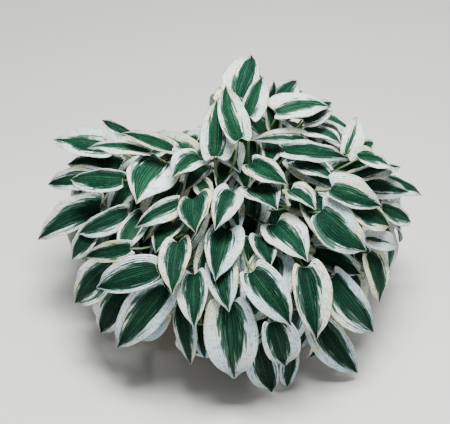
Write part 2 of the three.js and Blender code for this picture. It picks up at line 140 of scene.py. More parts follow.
# Near leaves from the lowest layer to the top one, as the photograph shows them, read off it:
# blade base x, y, tip x, y in pixels, blade length in mm, roll about the midrib in degrees, widest reach
# of the left and the right half from the line base to tip in pixels, their cream margins as parts of the
# half width, and for some the midrib's bend to the right as a part of the length and the degrees by which
# the right half is lifted and the left one lowered. Left and right are as seen with the tip held down.
NEAR_LEAVES = [
    (238, 96, 252, 53, 140, 0, 15, 21.5, 0.28, 0.58),
    (249, 116, 263, 76, 125, 0, 14, 11, 0.62, 0.22),
    (214, 156, 216, 98, 150, 0, 22, 15, 0.50, 0.52),
    (276, 112, 332, 106, 140, -15, 8, 18.5, 0.55, 0.52),
    (240, 138, 226, 84, 150, 0, 14, 16, 0.52, 0.24, 0.05, 0),
    (258, 345, 272, 393, 150, 0, 19, 13, 0.46, 0.14),
    (318, 322, 358, 373, 160, 0, 22, 15.5, 0.46, 0.38),
    (228, 303, 234, 380, 175, 0, 27, 28, 0.56, 0.44),
    (273, 322, 285, 366, 150, 0, 16, 22, 0.30, 0.48),
    (126, 292, 100, 334, 140, 0, 18, 14, 0.20, 0.20),
    (166, 289, 117, 348, 175, 0, 25, 18.5, 0.34, 0.46),
    (334, 276, 375, 333, 160, 0, 25, 14.5, 0.28, 0.50),
    (194, 275, 194, 328, 150, 0, 18, 14, 0.42, 0.30),
    (305, 268, 317, 340, 165, 0, 15, 24, 0.22, 0.46),
    (253, 272, 291, 326, 165, 0, 19, 21, 0.42, 0.36),
    (220, 258, 229, 312, 150, 0, 18, 16, 0.42, 0.42),
    (112, 262, 73, 304, 150, 0, 20, 19, 0.46, 0.26),
    (130, 248, 84, 257, 140, 0, 11, 10.5, 0.35, 0.30),
    (156, 270, 96, 288, 155, 0, 21, 15, 0.34, 0.22),
    (178, 243, 172, 293, 140, 0, 18, 14, 0.34, 0.18),
    (227, 230, 215, 281, 170, 0, 20, 20, 0.28, 0.48),
    (144, 215, 118, 256, 135, 0, 15, 10, 0.22, 0.38),
    (322, 210, 367, 251, 170, 0, 25, 20, 0.14, 0.50),
    (352, 206, 391, 226, 130, 0, 13, 12.5, 0.34, 0.26),
    (276, 224, 308, 261, 168, 0, 19, 22, 0.34, 0.42),
    (100, 209, 36, 239, 165, 0, 25, 9, 0.38, 0.36),
    (375, 178, 424, 194, 140, 0, 9, 6, 0.30, 0.20),
    (352, 180, 409, 192, 145, 0, 14, 13, 0.24, 0.60),
    (332, 188, 382, 206, 145, 0, 12.5, 20, 0.18, 0.60),
    (100, 181, 46, 183, 145, 0, 17.5, 8.5, 0.36, 0.34),
    (178, 203, 135, 227, 140, 0, 11.5, 12, 0.30, 0.48),
    (232, 192, 215, 229, 125, 0, 17, 14, 0.30, 0.60),
    (193, 199, 195, 232, 130, 0, 17, 20, 0.15, 0.17),
    (150, 152, 87, 147, 150, 24, 13.7, 5, 0.48, 0.55),
    (112, 147, 53, 139, 145, 12, 17.4, 13, 0.62, 0.26, 0.02, -12),
    (352, 177, 401, 166, 130, -30, 8, 10, 0.46, 0.30),
    (358, 157, 392, 167, 120, -20, 6, 13.4, 0.55, 0.38),
    (163, 162, 136, 203, 165, 0, 27, 22, 0.28, 0.70, 0, -25),
    (200, 158, 172, 177, 115, 0, 20, 9, 0.38, 0.50),
    (252, 163, 288, 185, 118, 0, 13, 14, 0.30, 0.34),
    (256, 188, 277, 208, 145, 0, 16, 22, 0.30, 0.34),
    (346, 154, 357, 116, 120, 0, 14.6, 9.2, 0.80, 0.68),
    (285, 151, 350, 158, 155, 0, 8.2, 13.7, 0.46, 0.15),
    (302, 131, 343, 143, 125, 0, 4, 17, 0.60, 0.28, 0, -10),
]

# Rings of far leaves: how many, height and radius of the blade's middle in mm,
# compass angle of the first one and step to the next in degrees, blade length in mm
FAR_RINGS = [
    (5, 150, 400, 14, 38, 160),
    (4, 262, 335, 33, 38, 155),
    (3, 375, 265, 55, 35, 145),
    (1, 500, 140, 95, 0, 130),
]
FAR_LEAN = 0.3  # how much higher they are on the right than in the middle
FAR_TIP_INSET = 14

# Leaves between and behind the near ones, laid out in the same way
BETWEEN_LEAVES = [
    (196, 152, 152, 132, 125, 0, 12, 9, 0.68, 0.55),
    (228, 149, 240, 172, 110, 0, 14, 16, 0.55, 0.55),
    (130, 134, 101, 119, 82, 0, 4, 8, 0.20, 0.18),
    (172, 149, 121, 133, 130, 0, 11, 6, 0.38, 0.30),
    (121, 166, 66, 164, 140, 0, 14, 11, 0.18, 0.48),
    (122, 178, 70, 179, 130, 0, 10, 14, 0.14, 0.20),
    (128, 211, 76, 234, 135, 0, 10, 15, 0.22, 0.34),
    (172, 222, 155, 253, 120, 0, 13, 12, 0.16, 0.20),
    (200, 183, 214, 200, 80, 0, 10, 10, 0.40, 0.40),
    (270, 101, 274, 80, 64, 0, 5, 7, 0.30, 0.40),
    (275, 102, 298, 79, 112, 0, 13, 12, 0.46, 0.30),
    (303, 120, 333, 101, 105, 0, 13, 12, 0.40, 0.30),
    (304, 139, 250, 140, 125, -8, 12, 6, 0.60, 0.66),
    (276, 130, 266, 104, 76, 0, 8, 9, 0.14, 0.18),
    (272, 143, 268, 166, 100, 0, 12, 12, 0.16, 0.16),
    (298, 160, 336, 179, 125, 0, 10, 9, 0.26, 0.18),
    (204, 166, 184, 192, 110, 0, 10, 10, 0.18, 0.20),
    (332, 168, 388, 164, 135, 0, 10, 12, 0.48, 0.58),
    (355, 150, 375, 142, 80, 0, 8, 8, 0.40, 0.40),
    (382, 207, 412, 222, 110, 0, 10, 10, 0.30, 0.26),
    (366, 238, 399, 246, 110, 0, 9, 12, 0.82, 0.86),
    (299, 261, 328, 275, 110, 0, 9, 10, 0.55, 0.50),
    (315, 252, 362, 275, 130, 0, 12, 14, 0.14, 0.18),
    (262, 238, 270, 268, 120, 0, 13, 13, 0.26, 0.26),
    (292, 350, 287, 388, 110, 0, 10, 9, 0.32, 0.30),
    (215, 240, 200, 297, 150, 0, 16, 14, 0.34, 0.30),
    (182, 305, 191, 366, 155, 0, 12, 11, 0.26, 0.28),
    (200, 325, 205, 360, 110, 0, 9, 10, 0.34, 0.34),
    (291, 190, 316, 209, 105, 0, 7, 15, 0.36, 0.46),
    (228, 160, 217, 191, 110, 0, 11, 11, 0.18, 0.20),
    (290, 205, 339, 215, 130, 0, 9, 11, 0.48, 0.22),
    (232, 205, 240, 233, 110, 0, 10, 12, 0.60, 0.55),
    (96, 228, 70, 260, 110, 0, 13, 11, 0.20, 0.26),
]

# Blades spread by the golden angle over three layers within the mound:
# how many to try, depth below the mound's surface, lowest and highest middle, blade length, all in mm
FILL_LAYERS = [
    (110, 22, 100, 600, 146),
    (90, 60, 90, 540, 136),
    (60, 110, 110, 440, 126),
]
GOLDEN_ANGLE = 137.508

# Blades spread over the back of the mound, each as high as the outline in the photograph lets it lie
CREST_PLACES = 90
CREST_RADIUS = 350
CREST_FRONT = -40  # none stands further to the front than this
CREST_TOP, CREST_BOTTOM, CREST_STEP = 620, 260, 12
CREST_INSET = 18
CREST_LENGTH = 126

# The clump's outline in the photograph, clockwise from its leftmost tip, in pixels
OUTLINE = [
    (36, 239), (60, 201), (76, 193), (56, 192), (46, 183), (57, 172), (68, 163), (72, 157),
    (58, 150), (53, 139), (75, 130), (101, 119), (112, 124), (150, 128), (190, 131), (197, 121),
    (204, 108), (212, 95), (217, 86), (226, 72), (252, 53), (262, 66), (264, 75), (272, 80),
    (284, 87), (290, 79), (298, 79), (301, 90), (318, 91), (333, 101), (336, 113), (345, 119),
    (357, 116), (366, 140), (380, 146), (391, 157), (392, 165), (401, 166), (396, 176), (424, 194),
    (412, 203), (412, 222), (406, 232), (399, 246), (384, 300), (375, 333), (358, 373), (316, 362),
    (300, 384), (272, 393), (260, 376), (246, 372), (234, 380), (220, 366), (190, 366), (176, 348),
    (150, 345), (134, 340), (117, 348), (112, 336), (100, 334), (88, 314), (73, 304), (75, 280),
    (86, 262), (84, 257), (93, 243), (74, 232), (60, 238),
]
GAP_LEAVES = 44  # the most leaves added to close gaps in that outline
GAP_TRIALS = 620
GAP_COLUMNS, GAP_ROWS = (30, 430), (50, 400)  # the pixels looked at
GAP_ANGLES, GAP_HEIGHTS, GAP_INSETS = (170, 370), (60, 620), (18, 80)  # degrees, mm and mm
GAP_LENGTHS = (110, 155)
LEAST_GAP = 6  # the fewest open cells of the view that such a leaf is worth adding for
GAP_FACING = 0.15  # and how much its upper side must be turned to the viewer
GAP_SHARE = 0.92  # and how much of it must lie inside the outline
LEAF_GROUPS = 8  # compass sectors that all the added leaves are gathered into

# ------------------------------------------------------------------ placing the leaves, mm
COVER_CELL = 3  # pixels
LAYER_CLEARANCE = 8  # between blades along the line of sight
# Slides to try along the line of sight in mm, from the viewer's side (less than 0) to the far side
NEAR_SLIDES = [0] + [s for back in range(5, 61, 5) for s in (-2 * back + 5, -2 * back, back)]
BETWEEN_SLIDES = [0] + [s for back in range(6, 97, 6) for s in (back, 0 - back // 3)]
BETWEEN_BEHIND = 0.5  # how much such a leaf avoids hiding another
GAP_SLIDES = [0, -8, 8, -16, 16, -24] + list(range(24, 121, 8))

# Leaves that are added by trial
FILL_CLEARANCE = 11  # the least distance between the samples of two blades
FILL_TRIES = 18
FILL_SINK = 11  # how much deeper each further try is
FILL_SWING = 0.22  # radians
FILL_SHIFT = 25  # up or down
FILL_TURN, FILL_ROLL = 28, 12  # degrees
SIZE_SPREAD = (0.86, 1.14)
FILL_SEEDS, GAP_SEED = 1000, 11
LOWEST_LEAF = 22  # how near one may hang to the floor
FURTHEST_LEAF = 405  # how far back one may reach
POT_ROOM = 16  # how far one keeps above the pot's rim or outside it
TIP_DEPTH, BASE_DEPTH = 6, 30  # how far a hanging leaf's ends dip below its middle

# Sideways sway and extra rise of a stalk's route, in the order in which they are tried
BENDS = [
    (sway, rise)
    for rise in (0, 20, -20, 40, -40, 60)
    for sway in (0, 12, -12, 24, -24, 36, -36, 50, -50, 65, -65)
]
QUICK_BENDS = BENDS[:22]  # for the leaves that aren't numbered
STALK_SAMPLES = 45  # steps of a route that are tested
STALK_CLEARANCE = 8.5
BLADE_CLEARANCE = 13

# ------------------------------------------------------------------ how the leaves differ
FIRST_OTHER = 101  # the first number for the looks of a leaf that isn't a CAD node
MARGINS = (0.24, 0.54)  # the narrowest and the widest cream margin, as parts of the half width
HALF_WIDTHS = (0.32, 1.45)  # the least and the most that a half may have of its usual width
WIDTH_ROUNDS = 4
REACH_PLACES = (0.05, 0.95, 19)  # first, last and number of the places where a half's reach is measured
TALLEST_LEAF = 560

# What differs from leaf to leaf, as ranges, and how much is added at the top of the plant
HALF_SPREAD = (1.04, 1.24)  # a half's width, of the usual one
POINT, POINT_HIGH, POINT_SPREAD = 0.80, 0.14, (0.0, 0.10)  # how drawn out the tip is
CUP_SPREAD = (-0.18, 0.10)  # rise of the edges, of the half width
WAVE_SPREAD, WAVE_HIGH = (0.009, 0.020), 0.012  # height of the edge's waves, of the length
WAVES_SPREAD = (1.5, 2.8)  # their number
BEND_SPREAD = (-0.02, 0.02)  # of the midrib, of the length
TWIST_SPREAD = (-12, 12)  # degrees
DROOP_SPREAD = (0.0, 0.075)  # of the tip, of the length
LIGHT_AT_TOP, LIGHT_POWER, TONE_SPREAD = 0.75, 1.6, (0.0, 0.25)  # painted light by height: higher leaves get lighter, warmer colours and lower ones darker, cooler ones, plus a tone that differs at random

# The finished blade, as parts of its length where nothing else is said
BLADE_SHOULDER = 0.50  # how soon the blade widens beyond its base: less is sooner
TIP_NIP, TIP_NIP_AT, TIP_NIP_SPAN = 0.3, 0.93, 0.07  # the narrowing before the tip
EDGE_WIDTH = 0.25  # mm, the half width that is left at the ends
LOBE_SHARE, LOBE_START = 1.65, 0.035  # of the plain blade's lobe, and where it starts
FOLD_SOFTNESS = 0.004  # of the fold along the midrib
VEIN_START, VEIN_END, VEIN_EDGE_LOSS = 0.12, 0.82, 0.5  # of the quilting, which is less at the edge
TWIST_CENTRE = 0.3
DROOP_SPAN = (0.6, 1.25)
LEAST_REACH = 2.0  # pixels, the least that a half's reach is taken to be

# ------------------------------------------------------------------ colours and patterns
# deep green: the blade's own dark green, also used as painted shade over the vein grooves and on low leaves
DEEP_GREEN = (0.0006, 0.0090, 0.0060, 1)
LIGHTER_GREEN = (0.0110, 0.0820, 0.0400, 1)
# painted sheen: the highlight colour of the puckers between the veins
SHEEN_GREEN = (0.060, 0.240, 0.160, 1)
# grey-green of the streaks at the cream's inner edge and of the pale underside veins, also the colour of the
# painted crease shade in the cream
GREY_GREEN = (0.120, 0.235, 0.180, 1)
CREAM = (0.79, 0.90, 0.90, 1)
# painted cool shade: the bluish white that the cream turns to on low leaves
COOL_SHADE_WHITE = (0.57, 0.74, 0.88, 1)
BUTTER = (0.87, 0.80, 0.48, 1)
MIDRIB_GREEN = (0.08, 0.17, 0.08, 1)
STALK_PALE = (0.15, 0.24, 0.09, 1)
STALK_GREEN = (0.040, 0.095, 0.035, 1)
UNDER_GREEN = (0.040, 0.100, 0.060, 1)
UNDER_CREAM = (0.58, 0.64, 0.52, 1)
CLAY_TINTS = (0.33, 0.115, 0.050, 1), (0.47, 0.185, 0.085, 1)
CLAY_SPECKLE = (0.20, 0.065, 0.030, 1)
LIME = (0.66, 0.52, 0.42, 1)
SOIL_TINTS = (0.016, 0.009, 0.006, 1), (0.045, 0.027, 0.017, 1)
SOIL_CRUMBS = (0.110, 0.070, 0.045, 1)
BARK_TINTS = (0.060, 0.028, 0.014, 1), (0.160, 0.085, 0.045, 1)
BARK_GRAIN = (0.030, 0.015, 0.008, 1)
ROOT_TINTS = (0.34, 0.32, 0.15, 1), (0.17, 0.11, 0.06, 1)
FLOOR_TINTS = (0.66, 0.655, 0.64, 1), (0.70, 0.695, 0.68, 1)

# Noise on a leaf: scale along it, scale across it, and for some the detail and the roughness
FEATHERS, HAIRS = (3.8, 8.5, 4.0, 0.62), (7.0, 34.0, 3.0, 0.6)
GREEN_CLOUDS, BUTTER_CLOUDS, PUCKERS = (5.0, 1.6), (3.5, 1.3), (26.0, 8.0)
CRINKLES, STALK_LINES = (52.0, 7.0, 1.0), (6.0, 18.0, 3.0)
BROAD_SCALE = 2.2
NUMBER_SPAN, RIGHT_SHIFT = 61.0, 7.3  # how far apart the leaves and their halves lie in the noise

# Noise on the rest: scale, detail and for some the roughness
CLAY_CLOUDS, CLAY_SPECKS = (9.0, 4.0, 0.6), (420.0, 2.0)
CLAY_PATCHES, CLAY_RINGS = (21.0, 5.0, 0.65), (650.0, 2.0)
SOIL_CRUMB_NOISE, SOIL_CLUMPS = (260.0, 5.0, 0.7), (45.0, 3.0)
BARK_FIBRES, BARK_PATCHES = (330.0, 4.0, 0.6), (60.0, 1.0)
ROOT_BLOTCHES, FLOOR_CLOUDS = (60.0, 4.0), (1.5, 2.0)

# Where a pattern starts to show and where it shows in full
HALVES_STEP, CREAM_STEP, STREAK_STEP = (-0.05, 0.05), (-0.012, 0.022), (-0.22, -0.04)
MIDDLE_STEP, CLOUD_STEP, SHEEN_STEP = (0.0, 0.45), (0.35, 0.70), (0.44, 0.72)
CREAM_TONES, BUTTER_STEP, BUTTER_SEEDS = (0.10, 0.85), (0.48, 0.68), (0.76, 0.95)
EDGE_STEP, CRINKLE_STEP, PUCKER_STEP, MIDRIB_STEP = (0.84, 1.0), (0.50, 0.66), (0.46, 0.74), (0.5, 1.2)
SPECK_STEP, FOOT_STEP, LIME_STEP = (0.62, 0.78), (0.0, 0.13), (0.50, 0.72)
CRUMB_STEP, FIBRE_STEP, PATCH_STEP = (0.55, 0.75), (0.5, 0.7), (0.35, 0.65)

# A factor for a pattern and what is then added to it: the first five are for the cream and its streaks
ALONG_TERM, BROAD_TERM, FEATHER_TERM = (0.36, -0.13), (0.60, -0.30), (1.20, -0.60)
RIM_TERM, HAIR_TERM = (0.12, -0.98), (0.55, -0.275)
TONE_TERM, CLOUD_TERM, VEIN_SHADE_TERM = (0.94, 0.06), (0.55, -0.16), (1.1, 0.1)
BUTTER_TERM, BLOOM_TERM = (0.6, 0.35), (0.6, 0.3)
MIDRIB_WIDTH = (-0.028, 0.036)

# How much of a pattern is mixed in
STREAK_SHARE, MIDDLE_SHARE, TONE_SHARE, HAIR_SHARE, SHEEN_SHARE = 0.50, 0.30, 0.50, 0.25, 0.42
SEED_SHARE, EDGE_SHARE, MIDRIB_SHARE, UNDER_SHARE = 0.5, 0.30, 0.25, 0.4
# painted shade in the creases of the cream, over the veins, crinkles and puckers
VEIN_SHADE, CRINKLE_SHADE, PUCKER_SHADE = 0.18, 0.34, 0.30
VEIN_RELIEF, PUCKER_RELIEF, CLAY_SHARE = -0.6, 1.5, 0.5
BLOOM_SCALE, LIME_ABOVE = 14.0, 0.12

# Roughness, or a factor for it and its least value; then the depth of the relief in metres and its strength
LEAF_ROUGH, UNDER_ROUGH, CLAY_ROUGH, SOIL_ROUGH = (0.20, 0.40), (0.1, 0.6), (0.15, 0.78), (0.1, 0.88)
STALK_ROUGH, BARK_ROUGH, ROOT_ROUGH, FLOOR_ROUGH = 0.42, 0.85, 0.6, 0.9
LEAF_RELIEF, UNDER_RELIEF, STALK_RELIEF = (0.0026, 0.9), (0.0007, 0.8), (0.0004, 0.6)
CLAY_RELIEF, SOIL_RELIEF = (0.0007, 0.7), (0.003, 0.9)
BARK_RELIEF, ROOT_RELIEF = (0.001, 0.8), (0.002, 0.7)
LEAF_GLOSS = 0.08

# ------------------------------------------------------------------ the stage
FLOOR_SIZE = 60.0  # metres from its middle to its edge
FLOOR_SQUARES = 4
LIGHTS_AIM = (0, 0, 0.3)
LIGHTS = [  # name, place in metres, size in metres, watts, tint
    ("key", (0.1, -1.0, 3.3), 1.2, 290, (1.0, 0.99, 0.97)),
    ("fill", (2.6, -1.6, 2.0), 2.6, 16, (0.95, 0.98, 1.0)),
    ("back", (0.6, 2.6, 2.4), 2.0, 34, (1.0, 1.0, 1.0)),
]
SKY_TINT = (0.90, 0.93, 0.96, 1)
SKY_STRENGTH = 0.28
CAMERA_REACH = 60  # metres

UP = np.array([0.0, 0.0, 1.0])
MOUND_CENTRE = MOUND_LEVEL * UP


# ------------------------------------------------------------------ vectors
def unit(vector):
    return vector / np.linalg.norm(vector)


def turned(vector, axis, angle):
    """The vector turned about an axis of unit length."""
    across = np.cross(axis, vector)
    along = axis * axis.dot(vector)
    return math.cos(angle) * (vector - along) + math.sin(angle) * across + along


def sampled(start, stop, step):
    """Values from start up to stop, each the one before plus the step."""
    values = []
    value = start
    while value <= stop:
        values.append(value)
        value += step
    return np.array(values)


# ------------------------------------------------------------------ the mound and the view
def mound_inset(points):
    """How far points lie inside the mound's outer surface."""
    r = np.hypot(points[..., 0], points[..., 1]) / MOUND_RADIUS
    z = np.abs(points[..., 2] - MOUND_LEVEL) / MOUND_HALF_HEIGHT
    scale = (r**MOUND_POWER + z**MOUND_POWER) ** (1 / MOUND_POWER)
    return np.linalg.norm(points - MOUND_CENTRE, axis=-1) * (1 / scale - 1)


def mound_normal(point):
    r = max(1.0, math.hypot(point[0], point[1]))
    sideways = (r / MOUND_RADIUS) ** (MOUND_POWER - 1) / MOUND_RADIUS
    height = (point[2] - MOUND_LEVEL) / MOUND_HALF_HEIGHT
    upward = math.copysign(abs(height) ** (MOUND_POWER - 1), height) / MOUND_HALF_HEIGHT
    return unit(np.array([sideways * point[0] / r, sideways * point[1] / r, upward]))


LEVEL = math.cos(math.radians(VIEW_ELEVATION))
STEEP = math.sin(math.radians(VIEW_ELEVATION))
VIEW_FORWARD = np.array([0.0, LEVEL, -STEEP])
VIEW_UP = np.array([0.0, STEEP, LEVEL])
VIEW_RIGHT = np.array([1.0, 0.0, 0.0])
VIEW_EYE = VIEW_AIM - VIEW_DISTANCE * VIEW_FORWARD


def ray_through(x, y):
    ray = VIEW_FOCAL * VIEW_FORWARD + (x - VIEW_CENTRE[0]) * VIEW_RIGHT + (VIEW_CENTRE[1] - y) * VIEW_UP
    return unit(ray)


def tip_point(x, y):
    """Where the ray first meets the mound, or passes nearest to it."""
    distances = np.arange(VIEW_DISTANCE - RAY_REACH, VIEW_DISTANCE + RAY_REACH, RAY_STEP)
    points = VIEW_EYE + distances[:, None] * ray_through(x, y)
    inset = mound_inset(points)
    inside = np.flatnonzero(inset >= TIP_INSET)
    return points[inside[0]] if len(inside) else points[np.argmax(inset)]


def base_point(x, y, tip, length):
    """The point of the ray where the blade has its length and sits below the mound's surface."""
    ray = ray_through(x, y)
    middle = (tip - VIEW_EYE).dot(ray)
    points = VIEW_EYE + np.arange(middle - length, middle + length, RAY_STEP)[:, None] * ray
    longer = np.linalg.norm(points - tip, axis=1) - length
    deeper = mound_inset(points) - BASE_INSET
    return points[np.argmin(longer**2 + DEPTH_WEIGHT * deeper**2)]


# ------------------------------------------------------------------ leaves and their places
class Leaf:
    """A blade from base to tip with its own axes. It gets a stalk's route and its looks later."""

    def __init__(self, base, tip, roll=0.0, shape=None):
        self.base = base
        self.tip = tip
        self.length = np.linalg.norm(tip - base)
        self.chord = (tip - base) / self.length
        normal = mound_normal(base + 0.5 * (tip - base))
        facing = unit(normal - normal.dot(self.chord) * self.chord)
        self.facing = turned(facing, self.chord, math.radians(roll))
        self.side = np.cross(self.facing, self.chord)
        self.shape = shape

    def middle(self):
        return self.base + 0.5 * (self.tip - self.base)

    def slide(self, distance):
        """Moves the leaf away from the viewer."""
        offset = distance * unit(self.middle() - VIEW_EYE)
        self.base = self.base + offset
        self.tip = self.tip + offset

    def place(self, forward, sideways, rise):
        """Points given along the leaf's own axes, as points of the frame."""
        return (
            self.base
            + forward[..., None] * self.chord
            + sideways[..., None] * self.side
            + rise[..., None] * self.facing
        )

    def plain_blade(self, u, v):
        """The blade's simple surface: u runs from the stalk to the tip, v from edge to edge."""
        outline = np.sqrt(u + PLAIN_START) * (1 - u) ** PLAIN_TAPER / PLAIN_PEAK
        half = np.maximum(BLADE_TIP_HALF_WIDTH, 0.5 * BLADE_WIDTH * self.length * outline)
        fold = math.radians(BLADE_FOLD)
        forward = self.length * (u - BLADE_LOBE * v * v * (1 - u) ** LOBE_FADE)
        rise = self.length * BLADE_ARCH * 4 * u * (1 - u) + half * np.abs(v) * math.sin(fold)
        return self.place(forward, half * v * math.cos(fold), rise)


COVER_U, COVER_V = np.meshgrid(sampled(0, 1, 0.04), sampled(-1, 1, 0.125), indexing="ij")
SAMPLE_U, SAMPLE_V = np.meshgrid(sampled(0, 1, 0.1), sampled(-1, 1, 0.25), indexing="ij")


def cover_of(leaf):
    """Cells of the view that a blade covers, each with the depth there."""
    offset = leaf.plain_blade(COVER_U, COVER_V).reshape(-1, 3) - VIEW_EYE
    depth = offset.dot(VIEW_FORWARD)
    across = np.floor(VIEW_FOCAL * offset.dot(VIEW_RIGHT) / depth / COVER_CELL)
    upward = np.floor(VIEW_FOCAL * offset.dot(VIEW_UP) / depth / COVER_CELL)
    return list(zip(across.astype(int).tolist(), upward.astype(int).tolist(), depth.tolist()))


def best_slide(cover, placed, slides, behind=0.0):
    """The first slide along the line of sight that puts the fewest samples too near to placed blades.

    Every sample that would hide another blade counts by the share called behind.
    """
    rooms = np.array([other - depth for x, y, depth in cover for other in placed.get((x, y), ())])
    fronts = np.array([min(placed[x, y]) - depth for x, y, depth in cover if (x, y) in placed])
    costs = []
    for slide in slides:
        too_near = (np.abs(slide - rooms) < LAYER_CLEARANCE).sum()
        costs.append(too_near + behind * (slide < fronts).sum())
    return slides[int(np.argmin(costs))]


def note_cover(leaf, placed):
    for x, y, depth in cover_of(leaf):
        placed.setdefault((x, y), []).append(depth)


def settle(leaf, placed, slides, behind=0.0):
    """Slides a leaf to its best place and notes the cells that it covered, with their new depths."""
    cover = cover_of(leaf)
    slide = best_slide(cover, placed, slides, behind)
    for x, y, depth in cover:
        placed.setdefault((x, y), []).append(depth + slide)
    leaf.slide(slide)


def place_seen_leaves(rows, placed, slides, behind=0.0):
    leaves = []
    for base_x, base_y, tip_x, tip_y, length, roll, *shape in rows:
        if len(shape) == 4:
            shape += [0, 0]  # no bend and no lift
        tip = tip_point(tip_x, tip_y)
        leaf = Leaf(base_point(base_x, base_y, tip, length), tip, roll, shape)
        settle(leaf, placed, slides, behind)
        leaves.append(leaf)
    return leaves


def hanging_leaf(middle, length, tip_inset, base_inset, turn=0.0, roll=0.0):
    """A leaf that hangs down the mound's slope at a point of it, or turned from that on the slope."""
    normal = mound_normal(middle)
    down = turned(unit(normal[2] * normal - UP), normal, math.radians(turn))
    tip = middle + 0.5 * length * down - tip_inset * normal
    base = middle - 0.5 * length * down - base_inset * normal
    return Leaf(base, tip, roll)


def place_far_leaves():
    leaves = []
    for count, height, radius, first, step, length in FAR_RINGS:
        for i in range(count):
            angle = math.radians(first + i * step)
            level = height * (1 + FAR_LEAN * math.cos(angle))
            middle = np.array([radius * math.cos(angle), radius * math.sin(angle), level])
            leaves.append(hanging_leaf(middle, length, FAR_TIP_INSET, BASE_INSET))
    return leaves


def blade_samples(leaf):
    return leaf.plain_blade(SAMPLE_U, SAMPLE_V).reshape(-1, 3)


def nearest(points, others, limit):
    """The least distance between two sets of points, or the limit if they are further apart."""
    if len(others) == 0:
        return limit
    low = points.min(axis=0) - limit
    high = points.max(axis=0) + limit
    close = others[((others > low) & (others < high)).all(axis=1)]
    if len(close) == 0:
        return limit
    squares = ((points[:, None, :] - close[None, :, :]) ** 2).sum(axis=2)
    return min(limit, math.sqrt(squares.min()))


def mound_point(angle, height, inset):
    """The point at a compass angle and a height that lies so far inside the mound's surface."""
    z = abs(height - MOUND_LEVEL) / MOUND_HALF_HEIGHT
    radius = MOUND_RADIUS * (1 - z**MOUND_POWER) ** (1 / MOUND_POWER)
    surface = np.array([radius * math.cos(angle), radius * math.sin(angle), height])
    return surface - inset * mound_normal(surface)


def in_photo(points):
    """Pixel places of points of the frame."""
    offset = points - VIEW_EYE
    depth = offset.dot(VIEW_FORWARD)
    x = VIEW_CENTRE[0] + VIEW_FOCAL * offset.dot(VIEW_RIGHT) / depth
    y = VIEW_CENTRE[1] - VIEW_FOCAL * offset.dot(VIEW_UP) / depth
    return x, y


def in_outline(x, y):
    """Whether pixel places lie inside the clump's outline."""
    inside = np.zeros(np.shape(x), dtype=bool)
    for (x0, y0), (x1, y1) in zip(OUTLINE, OUTLINE[1:] + OUTLINE[:1]):
        if y0 == y1:
            continue
        crosses = (np.minimum(y0, y1) <= y) & (y < np.maximum(y0, y1))
        inside ^= crosses & (x < x0 + (y - y0) * (x1 - x0) / (y1 - y0))
    return inside


def clears_pot(points):
    """Whether a blade lies above the pot's rim or outside it, with some room."""
    above = points[:, 2] > POT_HEIGHT + POT_ROOM
    outside = np.hypot(points[:, 0], points[:, 1]) > POT_RIM_RADIUS + POT_ROOM
    return (above | outside).all()


def within_clump(points, share=1.0):
    """Whether a leaf clears the floor, the pot and the back, and shows inside the outline by a share."""
    low = points[:, 2].min() > LOWEST_LEAF
    back = points[:, 1].max() < FURTHEST_LEAF
    return low and back and clears_pot(points) and in_outline(*in_photo(points)).mean() >= share


def random_leaf(middle, length, chance):
    """A hanging leaf of about that length, turned and rolled a little."""
    size = length * chance.uniform(*SIZE_SPREAD)
    turn = chance.uniform(-FILL_TURN, FILL_TURN)
    roll = chance.uniform(-FILL_ROLL, FILL_ROLL)
    return hanging_leaf(middle, size, TIP_DEPTH, BASE_DEPTH, turn, roll)


def add_if_room(leaf, added, samples, placed):
    """Takes a leaf that lies within the clump and clear of the others, and says whether it did."""
    points = blade_samples(leaf)
    if not within_clump(points):
        return False
    if nearest(points, np.concatenate(samples), FILL_CLEARANCE) < FILL_CLEARANCE:
        return False
    added.append(leaf)
    samples.append(points)
    note_cover(leaf, placed)
    return True


def place_crest_leaves(samples, placed):
    added = []
    for i in range(CREST_PLACES):
        angle = math.radians(GOLDEN_ANGLE * i)
        radius = CREST_RADIUS * math.sqrt((i + 0.5) / CREST_PLACES)
        x, y = radius * math.cos(angle), radius * math.sin(angle)
        if y < CREST_FRONT:
            continue
        chance = random.Random(i)
        for height in range(CREST_TOP, CREST_BOTTOM, -CREST_STEP):
            middle = np.array([x, y, height])
            if mound_inset(middle) < CREST_INSET:
                continue
            if add_if_room(random_leaf(middle, CREST_LENGTH, chance), added, samples, placed):
                break
    return added


def place_fill_leaves(samples, placed):
    """Leaves spread all round, each as near the mound's surface as its tries find room for it."""
    added = []
    for count, inset, lowest, highest, length in FILL_LAYERS:
        for i in range(count):
            angle = math.radians(GOLDEN_ANGLE * (i + 0.5))
            height = lowest + (highest - lowest) * (i + 0.5) / count
            chance = random.Random(i + FILL_SEEDS * count)
            for attempt in range(FILL_TRIES):
                swing = angle + chance.uniform(-FILL_SWING, FILL_SWING)
                level = height + chance.uniform(-FILL_SHIFT, FILL_SHIFT)
                middle = mound_point(swing, level, inset + FILL_SINK * attempt)
                if add_if_room(random_leaf(middle, length, chance), added, samples, placed):
                    break
    return added


def cell_key(x, y):
    """The cell of the view that holds a pixel place."""
    across = math.floor((x - VIEW_CENTRE[0]) / COVER_CELL)
    return across, math.floor((VIEW_CENTRE[1] - y) / COVER_CELL)


def hidden_cells(leaf, placed):
    """Cells of the view that show another blade, and would show this one in its place."""
    return {(x, y) for x, y, depth in cover_of(leaf) if (x, y) in placed and depth < min(placed[x, y])}


